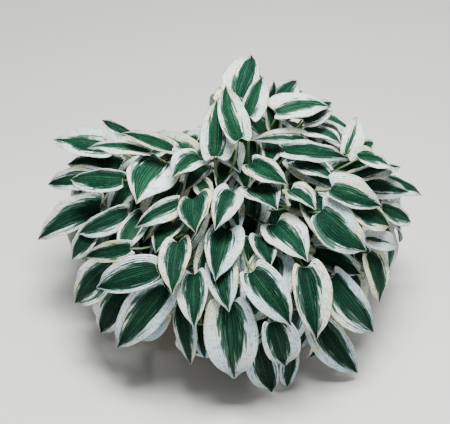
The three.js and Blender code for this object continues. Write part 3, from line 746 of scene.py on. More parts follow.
def place_gap_leaves(placed):
    """Leaves around the near ones, taken for the open cells they fill less the cells they hide."""
    columns, rows = np.meshgrid(np.arange(*GAP_COLUMNS, COVER_CELL), np.arange(*GAP_ROWS, COVER_CELL))
    inside = in_outline(columns, rows)
    open_cells = {cell_key(x, y) for x, y in zip(columns[inside].tolist(), rows[inside].tolist())}
    open_cells -= set(placed)
    chance = random.Random(GAP_SEED)
    trials = []
    for _ in range(GAP_TRIALS):
        angle = math.radians(chance.uniform(*GAP_ANGLES))
        middle = mound_point(angle, chance.uniform(*GAP_HEIGHTS), chance.uniform(*GAP_INSETS))
        turn = chance.uniform(-FILL_TURN, FILL_TURN)
        leaf = hanging_leaf(middle, chance.uniform(*GAP_LENGTHS), TIP_DEPTH, BASE_DEPTH, turn)
        leaf.slide(best_slide(cover_of(leaf), placed, GAP_SLIDES))
        cells = {(x, y) for x, y, depth in cover_of(leaf)}
        hidden = len(hidden_cells(leaf, placed))
        shows_top = leaf.facing.dot(unit(VIEW_EYE - leaf.middle())) > GAP_FACING
        if shows_top and within_clump(blade_samples(leaf), GAP_SHARE):
            trials.append((leaf, cells, hidden))

    def gain(trial):
        _, cells, hidden = trial
        return len(cells & open_cells) - hidden

    added = []
    while trials and len(added) < GAP_LEAVES:
        best = max(trials, key=gain)
        leaf, cells, _ = best
        if gain(best) < LEAST_GAP:
            break
        trials = [trial for trial in trials if trial[0] is not leaf]
        leaf.slide(best_slide(cover_of(leaf), placed, GAP_SLIDES))
        if within_clump(blade_samples(leaf), GAP_SHARE):
            note_cover(leaf, placed)
            open_cells -= cells
            added.append(leaf)
    return added


# ------------------------------------------------------------------ stalks
def crown_top_at(radius):
    return CROWN_WAIST + (CROWN_TOP - CROWN_WAIST) * math.sqrt(1 - (radius / CROWN_RADIUS) ** 2)


def stalk_route(leaf, sway, rise):
    """Four points of the cubic curve that a stalk follows from the crown to its blade."""
    reach = max(1.0, math.hypot(leaf.base[0], leaf.base[1]))
    out = np.array([leaf.base[0] / reach, leaf.base[1] / reach, 0.0])
    across = np.array([-out[1], out[0], 0.0])
    steep = max(0.0, math.atan2(leaf.base[2] - SOIL_TOP, reach) / (math.pi / 2))
    foot_radius = CROWN_RADIUS * (FOOT_OUTER - FOOT_NARROWING * steep)
    start = turned(foot_radius * out, UP, sway * FOOT_TURN)
    start[2] = crown_top_at(foot_radius) - FOOT_DEPTH
    span = np.linalg.norm(start - leaf.base)
    first = start + (STALK_LIFT * span + rise) * UP + STALK_LEAN * span * out + sway * across
    arrive = unit(ARRIVE_FORWARD * leaf.chord + (1 - steep) * out + (ARRIVE_UP + steep) * UP)
    second = leaf.base - STALK_ARRIVAL * span * arrive + ARRIVE_SWAY * sway * across
    end = leaf.plain_blade(np.array(STALK_JOIN), np.array(0.0))
    return [start, first, second, end]


def cubic(route, t):
    t = t[:, None]
    return (
        (1 - t) ** 3 * route[0]
        + 3 * (1 - t) ** 2 * t * route[1]
        + 3 * (1 - t) * t**2 * route[2]
        + t**3 * route[3]
    )


def clears_wall(points):
    """Whether a stalk passes over the pot's wall and not through it."""
    from_axis = np.hypot(points[:, 0], points[:, 1])
    inside = POT_RIM_RADIUS - POT_COLLAR_STEP - POT_WALL
    over_wall = (from_axis > inside - STALK_RADIUS) & (from_axis < POT_RIM_RADIUS + STALK_RADIUS)
    return (points[over_wall, 2] > POT_HEIGHT + STALK_RADIUS).all()


def route_stalks(leaves, blades, stalks, bends):
    """Each stalk takes its first route that is clear of sampled blades and stalks, or the roomiest."""
    ends = np.linspace(0, 1, STALK_SAMPLES + 1)
    for leaf in leaves:
        others = np.concatenate([points for owner, points in blades if owner is not leaf])
        earlier = np.concatenate(stalks) if stalks else np.empty((0, 3))
        best_room = -1
        for sway, rise in bends:
            if best_room == 1:
                break
            route = stalk_route(leaf, sway, rise)
            points = cubic(route, ends)
            room = clears_wall(points) * min(
                nearest(points, others, BLADE_CLEARANCE) / BLADE_CLEARANCE,
                nearest(points, earlier, STALK_CLEARANCE) / STALK_CLEARANCE,
            )
            if room > best_room:
                best_room, leaf.route, best_points = room, route, points
        stalks.append(best_points)


# ------------------------------------------------------------------ looks of each leaf
class Looks:
    """How one leaf differs from the others, from its number, its height and its shape in the photograph."""

    def __init__(self, number, leaf):
        chance = random.Random(number)
        height = min(1.0, max(0.0, leaf.middle()[2] / TALLEST_LEAF))
        self.widths = [chance.uniform(*HALF_SPREAD), chance.uniform(*HALF_SPREAD)]
        self.point = POINT + POINT_HIGH * height + chance.uniform(*POINT_SPREAD)
        self.cup = chance.uniform(*CUP_SPREAD)
        self.wave = chance.uniform(*WAVE_SPREAD) + WAVE_HIGH * height
        self.waves = chance.uniform(*WAVES_SPREAD)
        self.phases = (chance.random(), chance.random())
        self.bend = chance.uniform(*BEND_SPREAD)
        self.twist = math.radians(chance.uniform(*TWIST_SPREAD))
        self.droop = chance.uniform(*DROOP_SPREAD)
        self.margins = (chance.uniform(*MARGINS), chance.uniform(*MARGINS))
        self.lift = 0.0
        # tone: painted light that grows with the leaf's height, plus a random share of the leaf's own tone
        self.tone = LIGHT_AT_TOP * height**LIGHT_POWER + chance.uniform(*TONE_SPREAD)
        self.seed = chance.random()
        if leaf.shape:
            left, right, left_margin, right_margin, bend, lift = leaf.shape
            self.margins = (left_margin, right_margin)
            self.bend += bend
            self.lift = math.tan(math.radians(lift))
            leaf.looks = self
            fit_half(leaf, 0, left)
            fit_half(leaf, 1, right)

    def traits(self):
        return (*self.margins, self.tone, self.seed)


def reach_in_photo(leaf, half):
    """How far a half's edge bulges from the line base to tip, in pixels."""
    u = np.linspace(*REACH_PLACES)
    side = 2 * half - 1
    x, y = in_photo(finished_blade(leaf, u, side + 0 * u))
    base_x, base_y = in_photo(leaf.base)
    tip_x, tip_y = in_photo(leaf.tip)
    run = math.hypot(tip_x - base_x, tip_y - base_y)
    return (side * ((x - base_x) * (tip_y - base_y) - (y - base_y) * (tip_x - base_x)) / run).max()


def fit_half(leaf, half, pixels):
    """Widens or narrows a half until it reaches as far as in the photograph, within limits."""
    least, most = HALF_WIDTHS
    for _ in range(WIDTH_ROUNDS):
        change = pixels / max(LEAST_REACH, reach_in_photo(leaf, half))
        leaf.looks.widths[half] = min(most, max(least, leaf.looks.widths[half] * change))


def smooth_step(low, high, x):
    t = np.clip((x - low) / (high - low), 0, 1)
    return t * t * (3 - 2 * t)


def blade_outline(u, point):
    """Half width from 0 at the base to 1 and back to 0: a larger point draws out the tip."""
    peak = BLADE_SHOULDER / (BLADE_SHOULDER + point)
    most = peak**BLADE_SHOULDER * (1 - peak) ** point
    drawn_tip = 1 - TIP_NIP * np.exp(-(((u - TIP_NIP_AT) / TIP_NIP_SPAN) ** 2))
    return u**BLADE_SHOULDER * (1 - u) ** point / most * drawn_tip


def finished_blade(leaf, u, v, ribs=0.0):
    """The blade's real surface: quilted between its veins, wavy at the edge, drooping at the tip."""
    looks = leaf.looks
    width = BLADE_WIDTH * leaf.length * np.where(v > 0, looks.widths[1], looks.widths[0])
    half = 0.5 * width * blade_outline(u, looks.point) + EDGE_WIDTH
    lobe = LOBE_SHARE * BLADE_LOBE * (1 - np.exp(-u / LOBE_START)) * (1 - u) ** LOBE_FADE
    forward = leaf.length * (u - lobe * v * v)
    fold = math.radians(BLADE_FOLD)
    middle = 4 * u * (1 - u)
    phase = np.where(v > 0, looks.phases[0], looks.phases[1])
    edge_wave = np.sin(2 * math.pi * (looks.waves * u + phase)) * np.abs(v) ** 3 * middle
    crease = np.sqrt(v * v + FOLD_SOFTNESS) - math.sqrt(FOLD_SOFTNESS)
    vein_reach = smooth_step(0, VEIN_START, u) * (1 - smooth_step(VEIN_END, 1, u))
    vein_reach *= 1 - VEIN_EDGE_LOSS * v**4
    quilting = -np.cos(2 * math.pi * VEIN_PAIRS * v) * ribs * vein_reach
    rise = (
        leaf.length * BLADE_ARCH * middle
        + half * (math.sin(fold) * crease + looks.cup * v * v)
        + half * v * (looks.lift + np.sin(looks.twist * (u - TWIST_CENTRE)))
        + leaf.length * looks.wave * edge_wave
        - leaf.length * looks.droop * smooth_step(*DROOP_SPAN, u)
        + quilting
    )
    sideways = half * v * math.cos(fold) + leaf.length * looks.bend * middle
    return leaf.place(forward, sideways, rise)


# ------------------------------------------------------------------ meshes
def bent_grid(bm, along, across, place):
    """A grid with a UV map, each vertex moved to place(s, t): s along it and t across, 0 to 1."""
    made = bmesh.ops.create_grid(bm, x_segments=along, y_segments=across, size=0.5, calc_uvs=True)
    verts = made["verts"]
    where = np.array([vert.co[:2] for vert in verts]) + 0.5
    points = MM * place(where[:, 0], where[:, 1])
    for vert, point in zip(verts, points):
        vert.co = point
    return verts


def faces_of(verts):
    """The faces at these vertices, each once."""
    return list(dict.fromkeys(face for vert in verts if vert.is_valid for face in vert.link_faces))


def add_blade(bm, leaf, traits, detail):
    def place(s, t):
        u = 0.5 - 0.5 * np.cos(math.pi * s)
        return finished_blade(leaf, u, 2 * t - 1, detail.ribs)

    verts = bent_grid(bm, detail.blade_rows, detail.blade_columns, place)
    bmesh.ops.remove_doubles(bm, verts=verts, dist=WELD)
    top = faces_of(verts)
    made = bmesh.ops.solidify(bm, geom=top, thickness=BLADE_THICKNESS * MM)
    shell = [item for item in made["geom"] if isinstance(item, bmesh.types.BMFace)]
    known = set(top)
    added = [face for face in shell if face not in known]
    for face in added:
        face.material_index = 1
    faces = top + added
    bmesh.ops.recalc_face_normals(bm, faces=faces)
    mark(faces, traits, leaf)


def mark(faces, traits, leaf):
    values = leaf.looks.traits()
    for face in faces:
        face.smooth = True
        for vert in face.verts:
            vert[traits] = values


def stalk_line(leaf, rows, ribs):
    """The stalk's middle line, on under the blade as its midrib, and the radius along it."""
    ends = np.linspace(0, 1, rows)
    stalk = cubic(leaf.route, ends)
    swell = FOOT_RADIUS - STALK_RADIUS
    radii = STALK_RADIUS + swell * (1 - smooth_step(0, FOOT_SPAN, ends)) ** 2
    reach = np.linspace(STALK_JOIN, MIDRIB_END, MIDRIB_ROWS + 1)[1:]
    ridge = STALK_RADIUS * (1 - (reach - STALK_JOIN) / (MIDRIB_END - STALK_JOIN)) ** MIDRIB_TAPER
    rib = finished_blade(leaf, reach, 0 * reach, ribs)
    drop = 0.5 * np.concatenate([STALK_RADIUS * smooth_step(STALK_SINK, 1, ends), ridge + BLADE_THICKNESS])
    line = np.concatenate([stalk, rib]) - drop[:, None] * leaf.facing
    return line, np.concatenate([radii, ridge])


def add_stalk(bm, leaf, traits, detail):
    line, radii = stalk_line(leaf, detail.stalk_rows, detail.ribs)
    rows = len(line) - 1
    tangents = np.gradient(line, axis=0)
    tangents /= np.linalg.norm(tangents, axis=1)[:, None]
    share = np.linspace(0, 1, rows + 1)[:, None]
    inward = unit(FOOT_UPWARD * UP - unit(leaf.base * [1, 1, 0] + 1e-6))
    top = (1 - share) * inward + share * leaf.facing
    top -= (top * tangents).sum(axis=1)[:, None] * tangents
    top /= np.linalg.norm(top, axis=1)[:, None]
    side = np.cross(tangents, top)

    def place(s, t):
        row = np.rint(s * rows).astype(int)
        angle = 2 * math.pi * t
        rounded = np.where((row == 0) | (row == rows), 0.0, radii[row])
        groove = np.where(np.sin(angle) > 0, STALK_GROOVE, 1.0)
        across = (rounded * np.cos(angle))[:, None] * side[row]
        return line[row] + across + (rounded * groove * np.sin(angle))[:, None] * top[row]

    verts = bent_grid(bm, rows, detail.stalk_sides, place)
    bmesh.ops.remove_doubles(bm, verts=verts, dist=WELD)
    faces = faces_of(verts)
    for face in faces:
        face.material_index = 2
    bmesh.ops.recalc_face_normals(bm, faces=faces)
    mark(faces, traits, leaf)


def object_from(bm, name, finishes=()):
    mesh = bpy.data.meshes.new(name)
    bm.to_mesh(mesh)
    bm.free()
    for finish in finishes:
        mesh.materials.append(finish)
    made = bpy.data.objects.new(name, mesh)
    bpy.context.collection.objects.link(made)
    return made


def piece_from(bm, name, finishes):
    piece = object_from(bm, name, finishes)
    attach(piece, "root")
    return piece


def model_leaves(name, leaves, finishes, detail):
    bm = bmesh.new()
    bm.loops.layers.uv.new("leaf")
    traits = bm.verts.layers.float_color.new("traits")
    for leaf in leaves:
        add_blade(bm, leaf, traits, detail)
        add_stalk(bm, leaf, traits, detail)
    return piece_from(bm, name, finishes)


# ------------------------------------------------------------------ pot and soil
def pot_wall_radius(z):
    slope = (POT_RIM_RADIUS - POT_COLLAR_STEP - POT_BASE_RADIUS) / POT_HEIGHT
    return POT_BASE_RADIUS + slope * z


def spun(profile, sides):
    """A closed shell from a profile of [radius, height] pairs that starts and ends on the axis."""
    bm = bmesh.new()
    verts = [bm.verts.new((r * MM, 0, z * MM)) for r, z in profile]
    edges = [bm.edges.new(pair) for pair in zip(verts, verts[1:])]
    bmesh.ops.spin(
        bm,
        geom=verts + edges,
        axis=(0, 0, 1),
        cent=(0, 0, 0),
        angle=2 * math.pi,
        steps=sides,
        use_merge=True,
    )
    bmesh.ops.remove_doubles(bm, verts=bm.verts[:], dist=WELD)
    bmesh.ops.recalc_face_normals(bm, faces=bm.faces[:])
    return bm


def pot_profile():
    foot = POT_HEIGHT - POT_COLLAR_HEIGHT
    inside = pot_wall_radius(POT_HEIGHT) - POT_WALL
    return [
        (0, 0),
        (POT_BASE_RADIUS, 0),
        (pot_wall_radius(foot), foot),
        (pot_wall_radius(foot) + POT_COLLAR_STEP, foot + POT_EDGE),
        (POT_RIM_RADIUS, POT_HEIGHT),
        (inside, POT_HEIGHT),
        (pot_wall_radius(POT_FLOOR) - POT_WALL, POT_FLOOR),
        (0, POT_FLOOR),
    ]


def rounded_edges(bm, offset, sharpness):
    """Rounds every edge whose faces meet at more than the sharpness, in degrees."""
    sharp = [e for e in bm.edges if e.calc_face_angle(0) > math.radians(sharpness)]
    bmesh.ops.bevel(
        bm, geom=sharp, offset=offset * MM, segments=EDGE_STEPS, profile=0.5, affect="EDGES", material=-1
    )


def drain_pins():
    bm = bmesh.new()
    for i in range(DRAIN_HOLES):
        angle = 2 * math.pi * (i + 0.5) / DRAIN_HOLES
        at = Vector((DRAIN_CIRCLE * math.cos(angle), DRAIN_CIRCLE * math.sin(angle), 0)) * MM
        bmesh.ops.create_cone(
            bm,
            cap_ends=True,
            segments=DRAIN_SIDES,
            radius1=DRAIN_RADIUS * MM,
            radius2=DRAIN_RADIUS * MM,
            depth=4 * POT_FLOOR * MM,
            matrix=Matrix.Translation(at),
        )
    return object_from(bm, "drain_pins")


def cut_away(piece, cutter):
    """Takes the cutter out of the piece's mesh and deletes the cutter."""
    change = piece.modifiers.new("holes", "BOOLEAN")
    change.object = cutter
    change.solver = "EXACT"
    bpy.context.view_layer.update()
    seen = piece.evaluated_get(bpy.context.evaluated_depsgraph_get())
    cut = bpy.data.meshes.new_from_object(seen)
    piece.modifiers.clear()
    piece.data = cut
    bpy.data.objects.remove(cutter)


def model_pot(finish):
    bm = spun(pot_profile(), POT_SIDES)
    rounded_edges(bm, POT_EDGE, SHARP_EDGE)
    pot = piece_from(bm, "clay_pot", [finish])
    cut_away(pot, drain_pins())
    for polygon in pot.data.polygons:
        polygon.use_smooth = True
    pot.data.set_sharp_from_angle(angle=math.radians(SMOOTH_EDGE))
    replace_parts(pot, "pot")


def soil_profile():
    wall = pot_wall_radius(SOIL_TOP) - POT_WALL - GAP
    floor = POT_FLOOR + GAP
    profile = [(0, floor), (pot_wall_radius(floor) - POT_WALL - GAP, floor)]
    for i in range(SOIL_RINGS + 1):
        radius = wall - (wall - SOIL_HEAP_RADIUS) * i / SOIL_RINGS
        profile.append((radius, SOIL_TOP + SOIL_CROWN_RISE * i / SOIL_RINGS))
    for i in range(1, HEAP_RINGS + 1):
        profile.append((SOIL_HEAP_RADIUS * (1 - i / HEAP_RINGS), SOIL_TOP + SOIL_CROWN_RISE))
    return profile


def model_soil(finish):
    bm = spun(soil_profile(), SOIL_SIDES)
    wall = pot_wall_radius(SOIL_TOP) - POT_WALL - GAP
    for vert in bm.verts:
        radius = math.hypot(vert.co.x, vert.co.y) / MM
        if vert.co.z < (SOIL_TOP - SOIL_REST) * MM or radius > wall - SOIL_REST:
            continue
        lumps = sum(share * noise.noise(vert.co / (size * MM)) for share, size in (COARSE_LUMPS, FINE_LUMPS))
        vert.co.z += SOIL_LUMPS * MM * lumps
    for face in bm.faces:
        face.smooth = True
    soil = piece_from(bm, "potting_soil", [finish])
    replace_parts(soil, "soil")


def model_bark(finish):
    """Chips of bark scattered over the soil between the crown and the rim."""
    bm = bmesh.new()
    chance = random.Random(BARK_SEED)
    outer = pot_wall_radius(SOIL_TOP) - POT_WALL - CHIP_TO_WALL
    for _ in range(BARK_CHIPS):
        radius = math.sqrt(chance.uniform((CROWN_RADIUS + CHIP_TO_CROWN) ** 2, outer**2))
        angle = chance.uniform(0, 2 * math.pi)
        heap = SOIL_CROWN_RISE * (1 - (radius - SOIL_HEAP_RADIUS) / (outer - SOIL_HEAP_RADIUS))
        height = SOIL_TOP + min(SOIL_CROWN_RISE, heap) + CHIP_HEIGHT
        turn = Matrix.Rotation(chance.uniform(0, 2 * math.pi), 4, "Z")
        tilt = Matrix.Rotation(chance.uniform(-CHIP_TILT, CHIP_TILT), 4, "Y")
        size = Vector([chance.uniform(*sizes) for sizes in CHIP_SIZES]) * MM
        at = Vector((radius * math.cos(angle), radius * math.sin(angle), height)) * MM
        chip = bmesh.ops.create_icosphere(bm, subdivisions=1, radius=1)["verts"]
        for vert in chip:
            vert.co *= chance.uniform(*CHIP_EDGES)
        matrix = Matrix.Translation(at) @ turn @ tilt @ Matrix.Diagonal((*size, 1))
        bmesh.ops.transform(bm, matrix=matrix, verts=chip)
    piece_from(bm, "bark_chips", [finish])


# ------------------------------------------------------------------ materials
class Finish:
    """A material whose nodes are added one by one."""

    def __init__(self, name):
        self.material = bpy.data.materials.new(name)
        self.material.use_nodes = True
        self.nodes = self.material.node_tree.nodes
        self.links = self.material.node_tree.links
        self.surface = self.nodes["Principled BSDF"]

    def put(self, value, socket):
        if isinstance(value, bpy.types.NodeSocket):
            self.links.new(value, socket)
        elif value is not None:
            socket.default_value = value

    def math(self, operation, a, b=None, c=None, clamp=False):
        node = self.nodes.new("ShaderNodeMath")
        node.operation = operation
        node.use_clamp = clamp
        for value, socket in zip((a, b, c), node.inputs):
            self.put(value, socket)
        return node.outputs[0]

    def times(self, a, b, plus=None, clamp=False):
        operation = "MULTIPLY" if plus is None else "MULTIPLY_ADD"
        return self.math(operation, a, b, plus, clamp)

    def step(self, low, high, value):
        """0 below low and 1 above high, with a smooth slope between."""
        node = self.nodes.new("ShaderNodeMapRange")
        node.interpolation_type = "SMOOTHSTEP"
        self.put(value, node.inputs["Value"])
        node.inputs["From Min"].default_value = low
        node.inputs["From Max"].default_value = high
        return node.outputs["Result"]

    def mix(self, share, a, b):
        node = self.nodes.new("ShaderNodeMix")
        node.data_type = "RGBA"
        self.put(share, node.inputs[0])
        self.put(a, node.inputs[6])
        self.put(b, node.inputs[7])
        return node.outputs[2]

    def vector(self, x, y, z):
        node = self.nodes.new("ShaderNodeCombineXYZ")
        for value, socket in zip((x, y, z), node.inputs):
            self.put(value, socket)
        return node.outputs[0]

    def noise(self, vector, scale, detail=2.0, roughness=0.5):
        node = self.nodes.new("ShaderNodeTexNoise")
        self.put(vector, node.inputs["Vector"])
        node.inputs["Scale"].default_value = scale
        node.inputs["Detail"].default_value = detail
        node.inputs["Roughness"].default_value = roughness
        return node.outputs["Fac"]

    def leaf_noise(self, along, across, number, along_scale, across_scale, detail=2.0, roughness=0.5):
        """Noise with a scale along the leaf and one across it, that differs from leaf to leaf."""
        x = self.times(along, along_scale)
        y = self.times(across, across_scale)
        return self.noise(self.vector(x, y, number), 1.0, detail, roughness)

    def object_point(self):
        return self.nodes.new("ShaderNodeTexCoord").outputs["Object"]

    def leaf_point(self):
        """Along the leaf from 0 to 1, and across it from -1 to 1."""
        coordinates = self.nodes.new("ShaderNodeTexCoord").outputs["UV"]
        split = self.nodes.new("ShaderNodeSeparateXYZ")
        self.put(coordinates, split.inputs[0])
        across = self.times(split.outputs["Y"], 2.0, -1.0)
        return split.outputs["X"], across

    def traits(self):
        """Left margin, right margin, tone and seed of the leaf."""
        node = self.nodes.new("ShaderNodeAttribute")
        node.attribute_name = "traits"
        split = self.nodes.new("ShaderNodeSeparateColor")
        self.put(node.outputs["Color"], split.inputs[0])
        return (*split.outputs[:3], node.outputs["Alpha"])

    def relief(self, height, distance, strength=1.0):
        node = self.nodes.new("ShaderNodeBump")
        node.inputs["Strength"].default_value = strength
        node.inputs["Distance"].default_value = distance
        self.put(height, node.inputs["Height"])
        self.put(node.outputs[0], self.surface.inputs["Normal"])

    def colour(self, value):
        self.put(value, self.surface.inputs["Base Color"])

    def roughness(self, value):
        self.put(value, self.surface.inputs["Roughness"])


Pattern = namedtuple("Pattern", "along across from_midrib tone seed number hairs cream streaks")


def leaf_pattern(finish):
    """Where on the leaf a point is, and how cream and how streaky the leaf is there."""
    along, across = finish.leaf_point()
    left, right, tone, seed = finish.traits()
    from_midrib = finish.math("ABSOLUTE", across)
    is_right = finish.step(*HALVES_STEP, across)
    margin = finish.times(finish.math("SUBTRACT", right, left), is_right, left)
    number = finish.times(seed, NUMBER_SPAN)
    side = finish.times(is_right, RIGHT_SHIFT, number)
    broad = finish.noise(finish.vector(finish.times(along, BROAD_SCALE), 0.0, side), 1.0, 1.0)
    feathers = finish.leaf_noise(along, across, number, *FEATHERS)
    hairs = finish.leaf_noise(along, across, number, *HAIRS)
    depth = finish.math("ADD", from_midrib, finish.math("SUBTRACT", margin, 1.0))
    depth = finish.math("ADD", depth, finish.times(along, *ALONG_TERM))
    depth = finish.math("ADD", depth, finish.times(broad, *BROAD_TERM))
    depth = finish.math("ADD", depth, finish.times(feathers, *FEATHER_TERM))
    rim = finish.math("ADD", from_midrib, finish.times(feathers, *RIM_TERM))
    depth = finish.math("MAXIMUM", depth, rim)
    cream = finish.step(*CREAM_STEP, depth)
    streaked = finish.math("ADD", depth, finish.times(hairs, *HAIR_TERM))
    streaks = finish.times(finish.step(*STREAK_STEP, streaked), STREAK_SHARE)
    return Pattern(along, across, from_midrib, tone, seed, number, hairs, cream, streaks)


def vein_lines(finish, across):
    """1 in the grooves over the veins and 0 halfway between them."""
    wave = finish.math("COSINE", finish.times(across, 2 * math.pi * VEIN_PAIRS))
    return finish.times(wave, 0.5, 0.5)


def green_of(finish, leaf, veins, puckers):
    """Deep green, lighter in clouds and along the midrib, lighter on high leaves and darker on low ones as
    painted light and shade; painted shade darkens the vein grooves and painted sheen lightens the puckers
    between them.
    """
    clouds = finish.leaf_noise(leaf.along, leaf.across, leaf.number, *GREEN_CLOUDS)
    # height follows the tone: painted light by height, so the clouds, fine hairs and sheen below show less
    # on low leaves
    height = finish.times(leaf.tone, *TONE_TERM)
    middle = finish.math("SUBTRACT", 1.0, finish.step(*MIDDLE_STEP, leaf.from_midrib))
    lighter = finish.times(finish.step(*CLOUD_STEP, clouds), *CLOUD_TERM)
    lighter = finish.times(middle, MIDDLE_SHARE, lighter)
    lighter = finish.times(lighter, height)
    lighter = finish.times(leaf.tone, TONE_SHARE, lighter, clamp=True)
    green = finish.mix(lighter, DEEP_GREEN, LIGHTER_GREEN)
    fine = finish.times(finish.times(leaf.hairs, HAIR_SHARE), height)
    green = finish.mix(fine, green, LIGHTER_GREEN)
    # painted sheen: highlights on the puckers between the veins, painted into the colour and stronger on
    # high leaves
    between = finish.math("SUBTRACT", finish.step(*SHEEN_STEP, puckers), veins, clamp=True)
    sheen = finish.times(finish.times(between, SHEEN_SHARE), height)
    green = finish.mix(sheen, green, SHEEN_GREEN)
    # painted shade in the vein grooves, stronger where the puckers noise is higher
    dark = finish.times(veins, finish.times(puckers, *VEIN_SHADE_TERM), clamp=True)
    green = finish.mix(dark, green, DEEP_GREEN)
    return finish.mix(leaf.streaks, green, GREY_GREEN)


def pale_of(finish, leaf, veins, puckers):
    """Cream high on the plant and bluish white low on it as painted cool shade, with buttery clouds and
    edges, and painted shade in the creases.
    """
    # painted cool shade: low leaves get bluish white, high ones cream
    pale = finish.mix(finish.step(*CREAM_TONES, leaf.tone), COOL_SHADE_WHITE, CREAM)
    clouds = finish.leaf_noise(leaf.along, leaf.across, leaf.number, *BUTTER_CLOUDS)
    share = finish.times(leaf.tone, *BUTTER_TERM)
    butter = finish.times(finish.step(*BUTTER_STEP, clouds), share)
    butter = finish.times(finish.step(*BUTTER_SEEDS, leaf.seed), SEED_SHARE, butter)
    edge = finish.step(*EDGE_STEP, leaf.from_midrib)
    butter = finish.times(edge, EDGE_SHARE, butter, clamp=True)
    pale = finish.mix(butter, pale, BUTTER)
    crinkles = finish.leaf_noise(leaf.along, leaf.across, leaf.number, *CRINKLES)
    # painted shade in the creases: the cream darkens to grey-green over the veins, crinkles and puckers
    crease_shade = finish.times(veins, VEIN_SHADE)
    crease_shade = finish.times(finish.step(*CRINKLE_STEP, crinkles), CRINKLE_SHADE, crease_shade)
    crease_shade = finish.times(finish.step(*PUCKER_STEP, puckers), PUCKER_SHADE, crease_shade)
    return finish.mix(crease_shade, pale, GREY_GREEN)


def leaf_top():
    finish = Finish("leaf_top")
    leaf = leaf_pattern(finish)
    veins = vein_lines(finish, leaf.across)
    puckers = finish.leaf_noise(leaf.along, leaf.across, leaf.number, *PUCKERS)
    green = green_of(finish, leaf, veins, puckers)
    pale = pale_of(finish, leaf, veins, puckers)
    colour = finish.mix(leaf.cream, green, pale)
    narrowing = finish.times(leaf.along, *MIDRIB_WIDTH)
    line = finish.math("DIVIDE", leaf.from_midrib, narrowing)
    midrib = finish.math("SUBTRACT", 1.0, finish.step(*MIDRIB_STEP, line))
    finish.colour(finish.mix(finish.times(midrib, MIDRIB_SHARE), colour, MIDRIB_GREEN))
    finish.roughness(finish.times(leaf.hairs, *LEAF_ROUGH))
    finish.surface.inputs["Specular IOR Level"].default_value = LEAF_GLOSS
    relief = finish.times(veins, VEIN_RELIEF, finish.times(puckers, PUCKER_RELIEF))
    finish.relief(relief, *LEAF_RELIEF)
    return finish.material


def leaf_underside():
    finish = Finish("leaf_underside")
    leaf = leaf_pattern(finish)
    veins = vein_lines(finish, leaf.across)
    green = finish.mix(finish.times(veins, UNDER_SHARE), UNDER_GREEN, GREY_GREEN)
    green = finish.mix(leaf.streaks, green, GREY_GREEN)
    finish.colour(finish.mix(leaf.cream, green, UNDER_CREAM))
    finish.roughness(finish.times(leaf.hairs, *UNDER_ROUGH))
    finish.relief(veins, *UNDER_RELIEF)
    return finish.material


def leaf_stalk():
    finish = Finish("leaf_stalk")
    along, across = finish.leaf_point()
    seed = finish.traits()[3]
    lines = finish.leaf_noise(along, across, seed, *STALK_LINES)
    finish.colour(finish.mix(finish.step(*PATCH_STEP, lines), STALK_PALE, STALK_GREEN))
    finish.roughness(STALK_ROUGH)
    finish.relief(lines, *STALK_RELIEF)
    return finish.material


def clay():
    finish = Finish("clay")
    place = finish.object_point()
    clouds = finish.noise(place, *CLAY_CLOUDS)
    speckle = finish.noise(place, *CLAY_SPECKS)
    split = finish.nodes.new("ShaderNodeSeparateXYZ")
    finish.put(place, split.inputs[0])
    height = split.outputs["Z"]
    body = finish.mix(clouds, *CLAY_TINTS)
    body = finish.mix(finish.step(*SPECK_STEP, speckle), body, CLAY_SPECKLE)
    bloom = finish.noise(finish.vector(0.0, 0.0, finish.times(height, BLOOM_SCALE)), 1.0)
    patches = finish.noise(place, *CLAY_PATCHES)
    low = finish.math("SUBTRACT", 1.0, finish.step(*FOOT_STEP, height))
    lime = finish.times(finish.step(*LIME_STEP, patches), finish.math("ADD", low, LIME_ABOVE))
    lime = finish.times(lime, finish.times(bloom, *BLOOM_TERM), clamp=True)
    finish.colour(finish.mix(lime, body, LIME))
    finish.roughness(finish.times(clouds, *CLAY_ROUGH))
    rings = finish.noise(finish.vector(0.0, 0.0, height), *CLAY_RINGS)
    relief = finish.times(speckle, CLAY_SHARE, finish.times(rings, CLAY_SHARE))
    finish.relief(relief, *CLAY_RELIEF)
    return finish.material


def soil():
    finish = Finish("soil")
    place = finish.object_point()
    crumbs = finish.noise(place, *SOIL_CRUMB_NOISE)
    clumps = finish.noise(place, *SOIL_CLUMPS)
    dark = finish.mix(clumps, *SOIL_TINTS)
    finish.colour(finish.mix(finish.step(*CRUMB_STEP, crumbs), dark, SOIL_CRUMBS))
    finish.roughness(finish.times(crumbs, *SOIL_ROUGH))
    finish.relief(crumbs, *SOIL_RELIEF)
    return finish.material


def bark():
    finish = Finish("bark")
    place = finish.object_point()
    grain = finish.noise(place, *BARK_FIBRES)
    chips = finish.noise(place, *BARK_PATCHES)
    brown = finish.mix(finish.step(*PATCH_STEP, chips), *BARK_TINTS)
    finish.colour(finish.mix(finish.step(*FIBRE_STEP, grain), brown, BARK_GRAIN))
    finish.roughness(BARK_ROUGH)
    finish.relief(grain, *BARK_RELIEF)
    return finish.material


def rootstock():
    finish = Finish("rootstock")
    place = finish.object_point()
    blotches = finish.noise(place, *ROOT_BLOTCHES)
    finish.colour(finish.mix(finish.step(*PATCH_STEP, blotches), *ROOT_TINTS))
    finish.roughness(ROOT_ROUGH)
    finish.relief(blotches, *ROOT_RELIEF)
    return finish.material


# ------------------------------------------------------------------ floor, lights and camera
def add_floor():
    bm = bmesh.new()
    bmesh.ops.create_grid(bm, x_segments=FLOOR_SQUARES, y_segments=FLOOR_SQUARES, size=FLOOR_SIZE)
    finish = Finish("floor")
    tint = finish.noise(finish.object_point(), *FLOOR_CLOUDS)
    finish.colour(finish.mix(tint, *FLOOR_TINTS))
    finish.roughness(FLOOR_ROUGH)
    floor = object_from(bm, "floor", [finish.material])


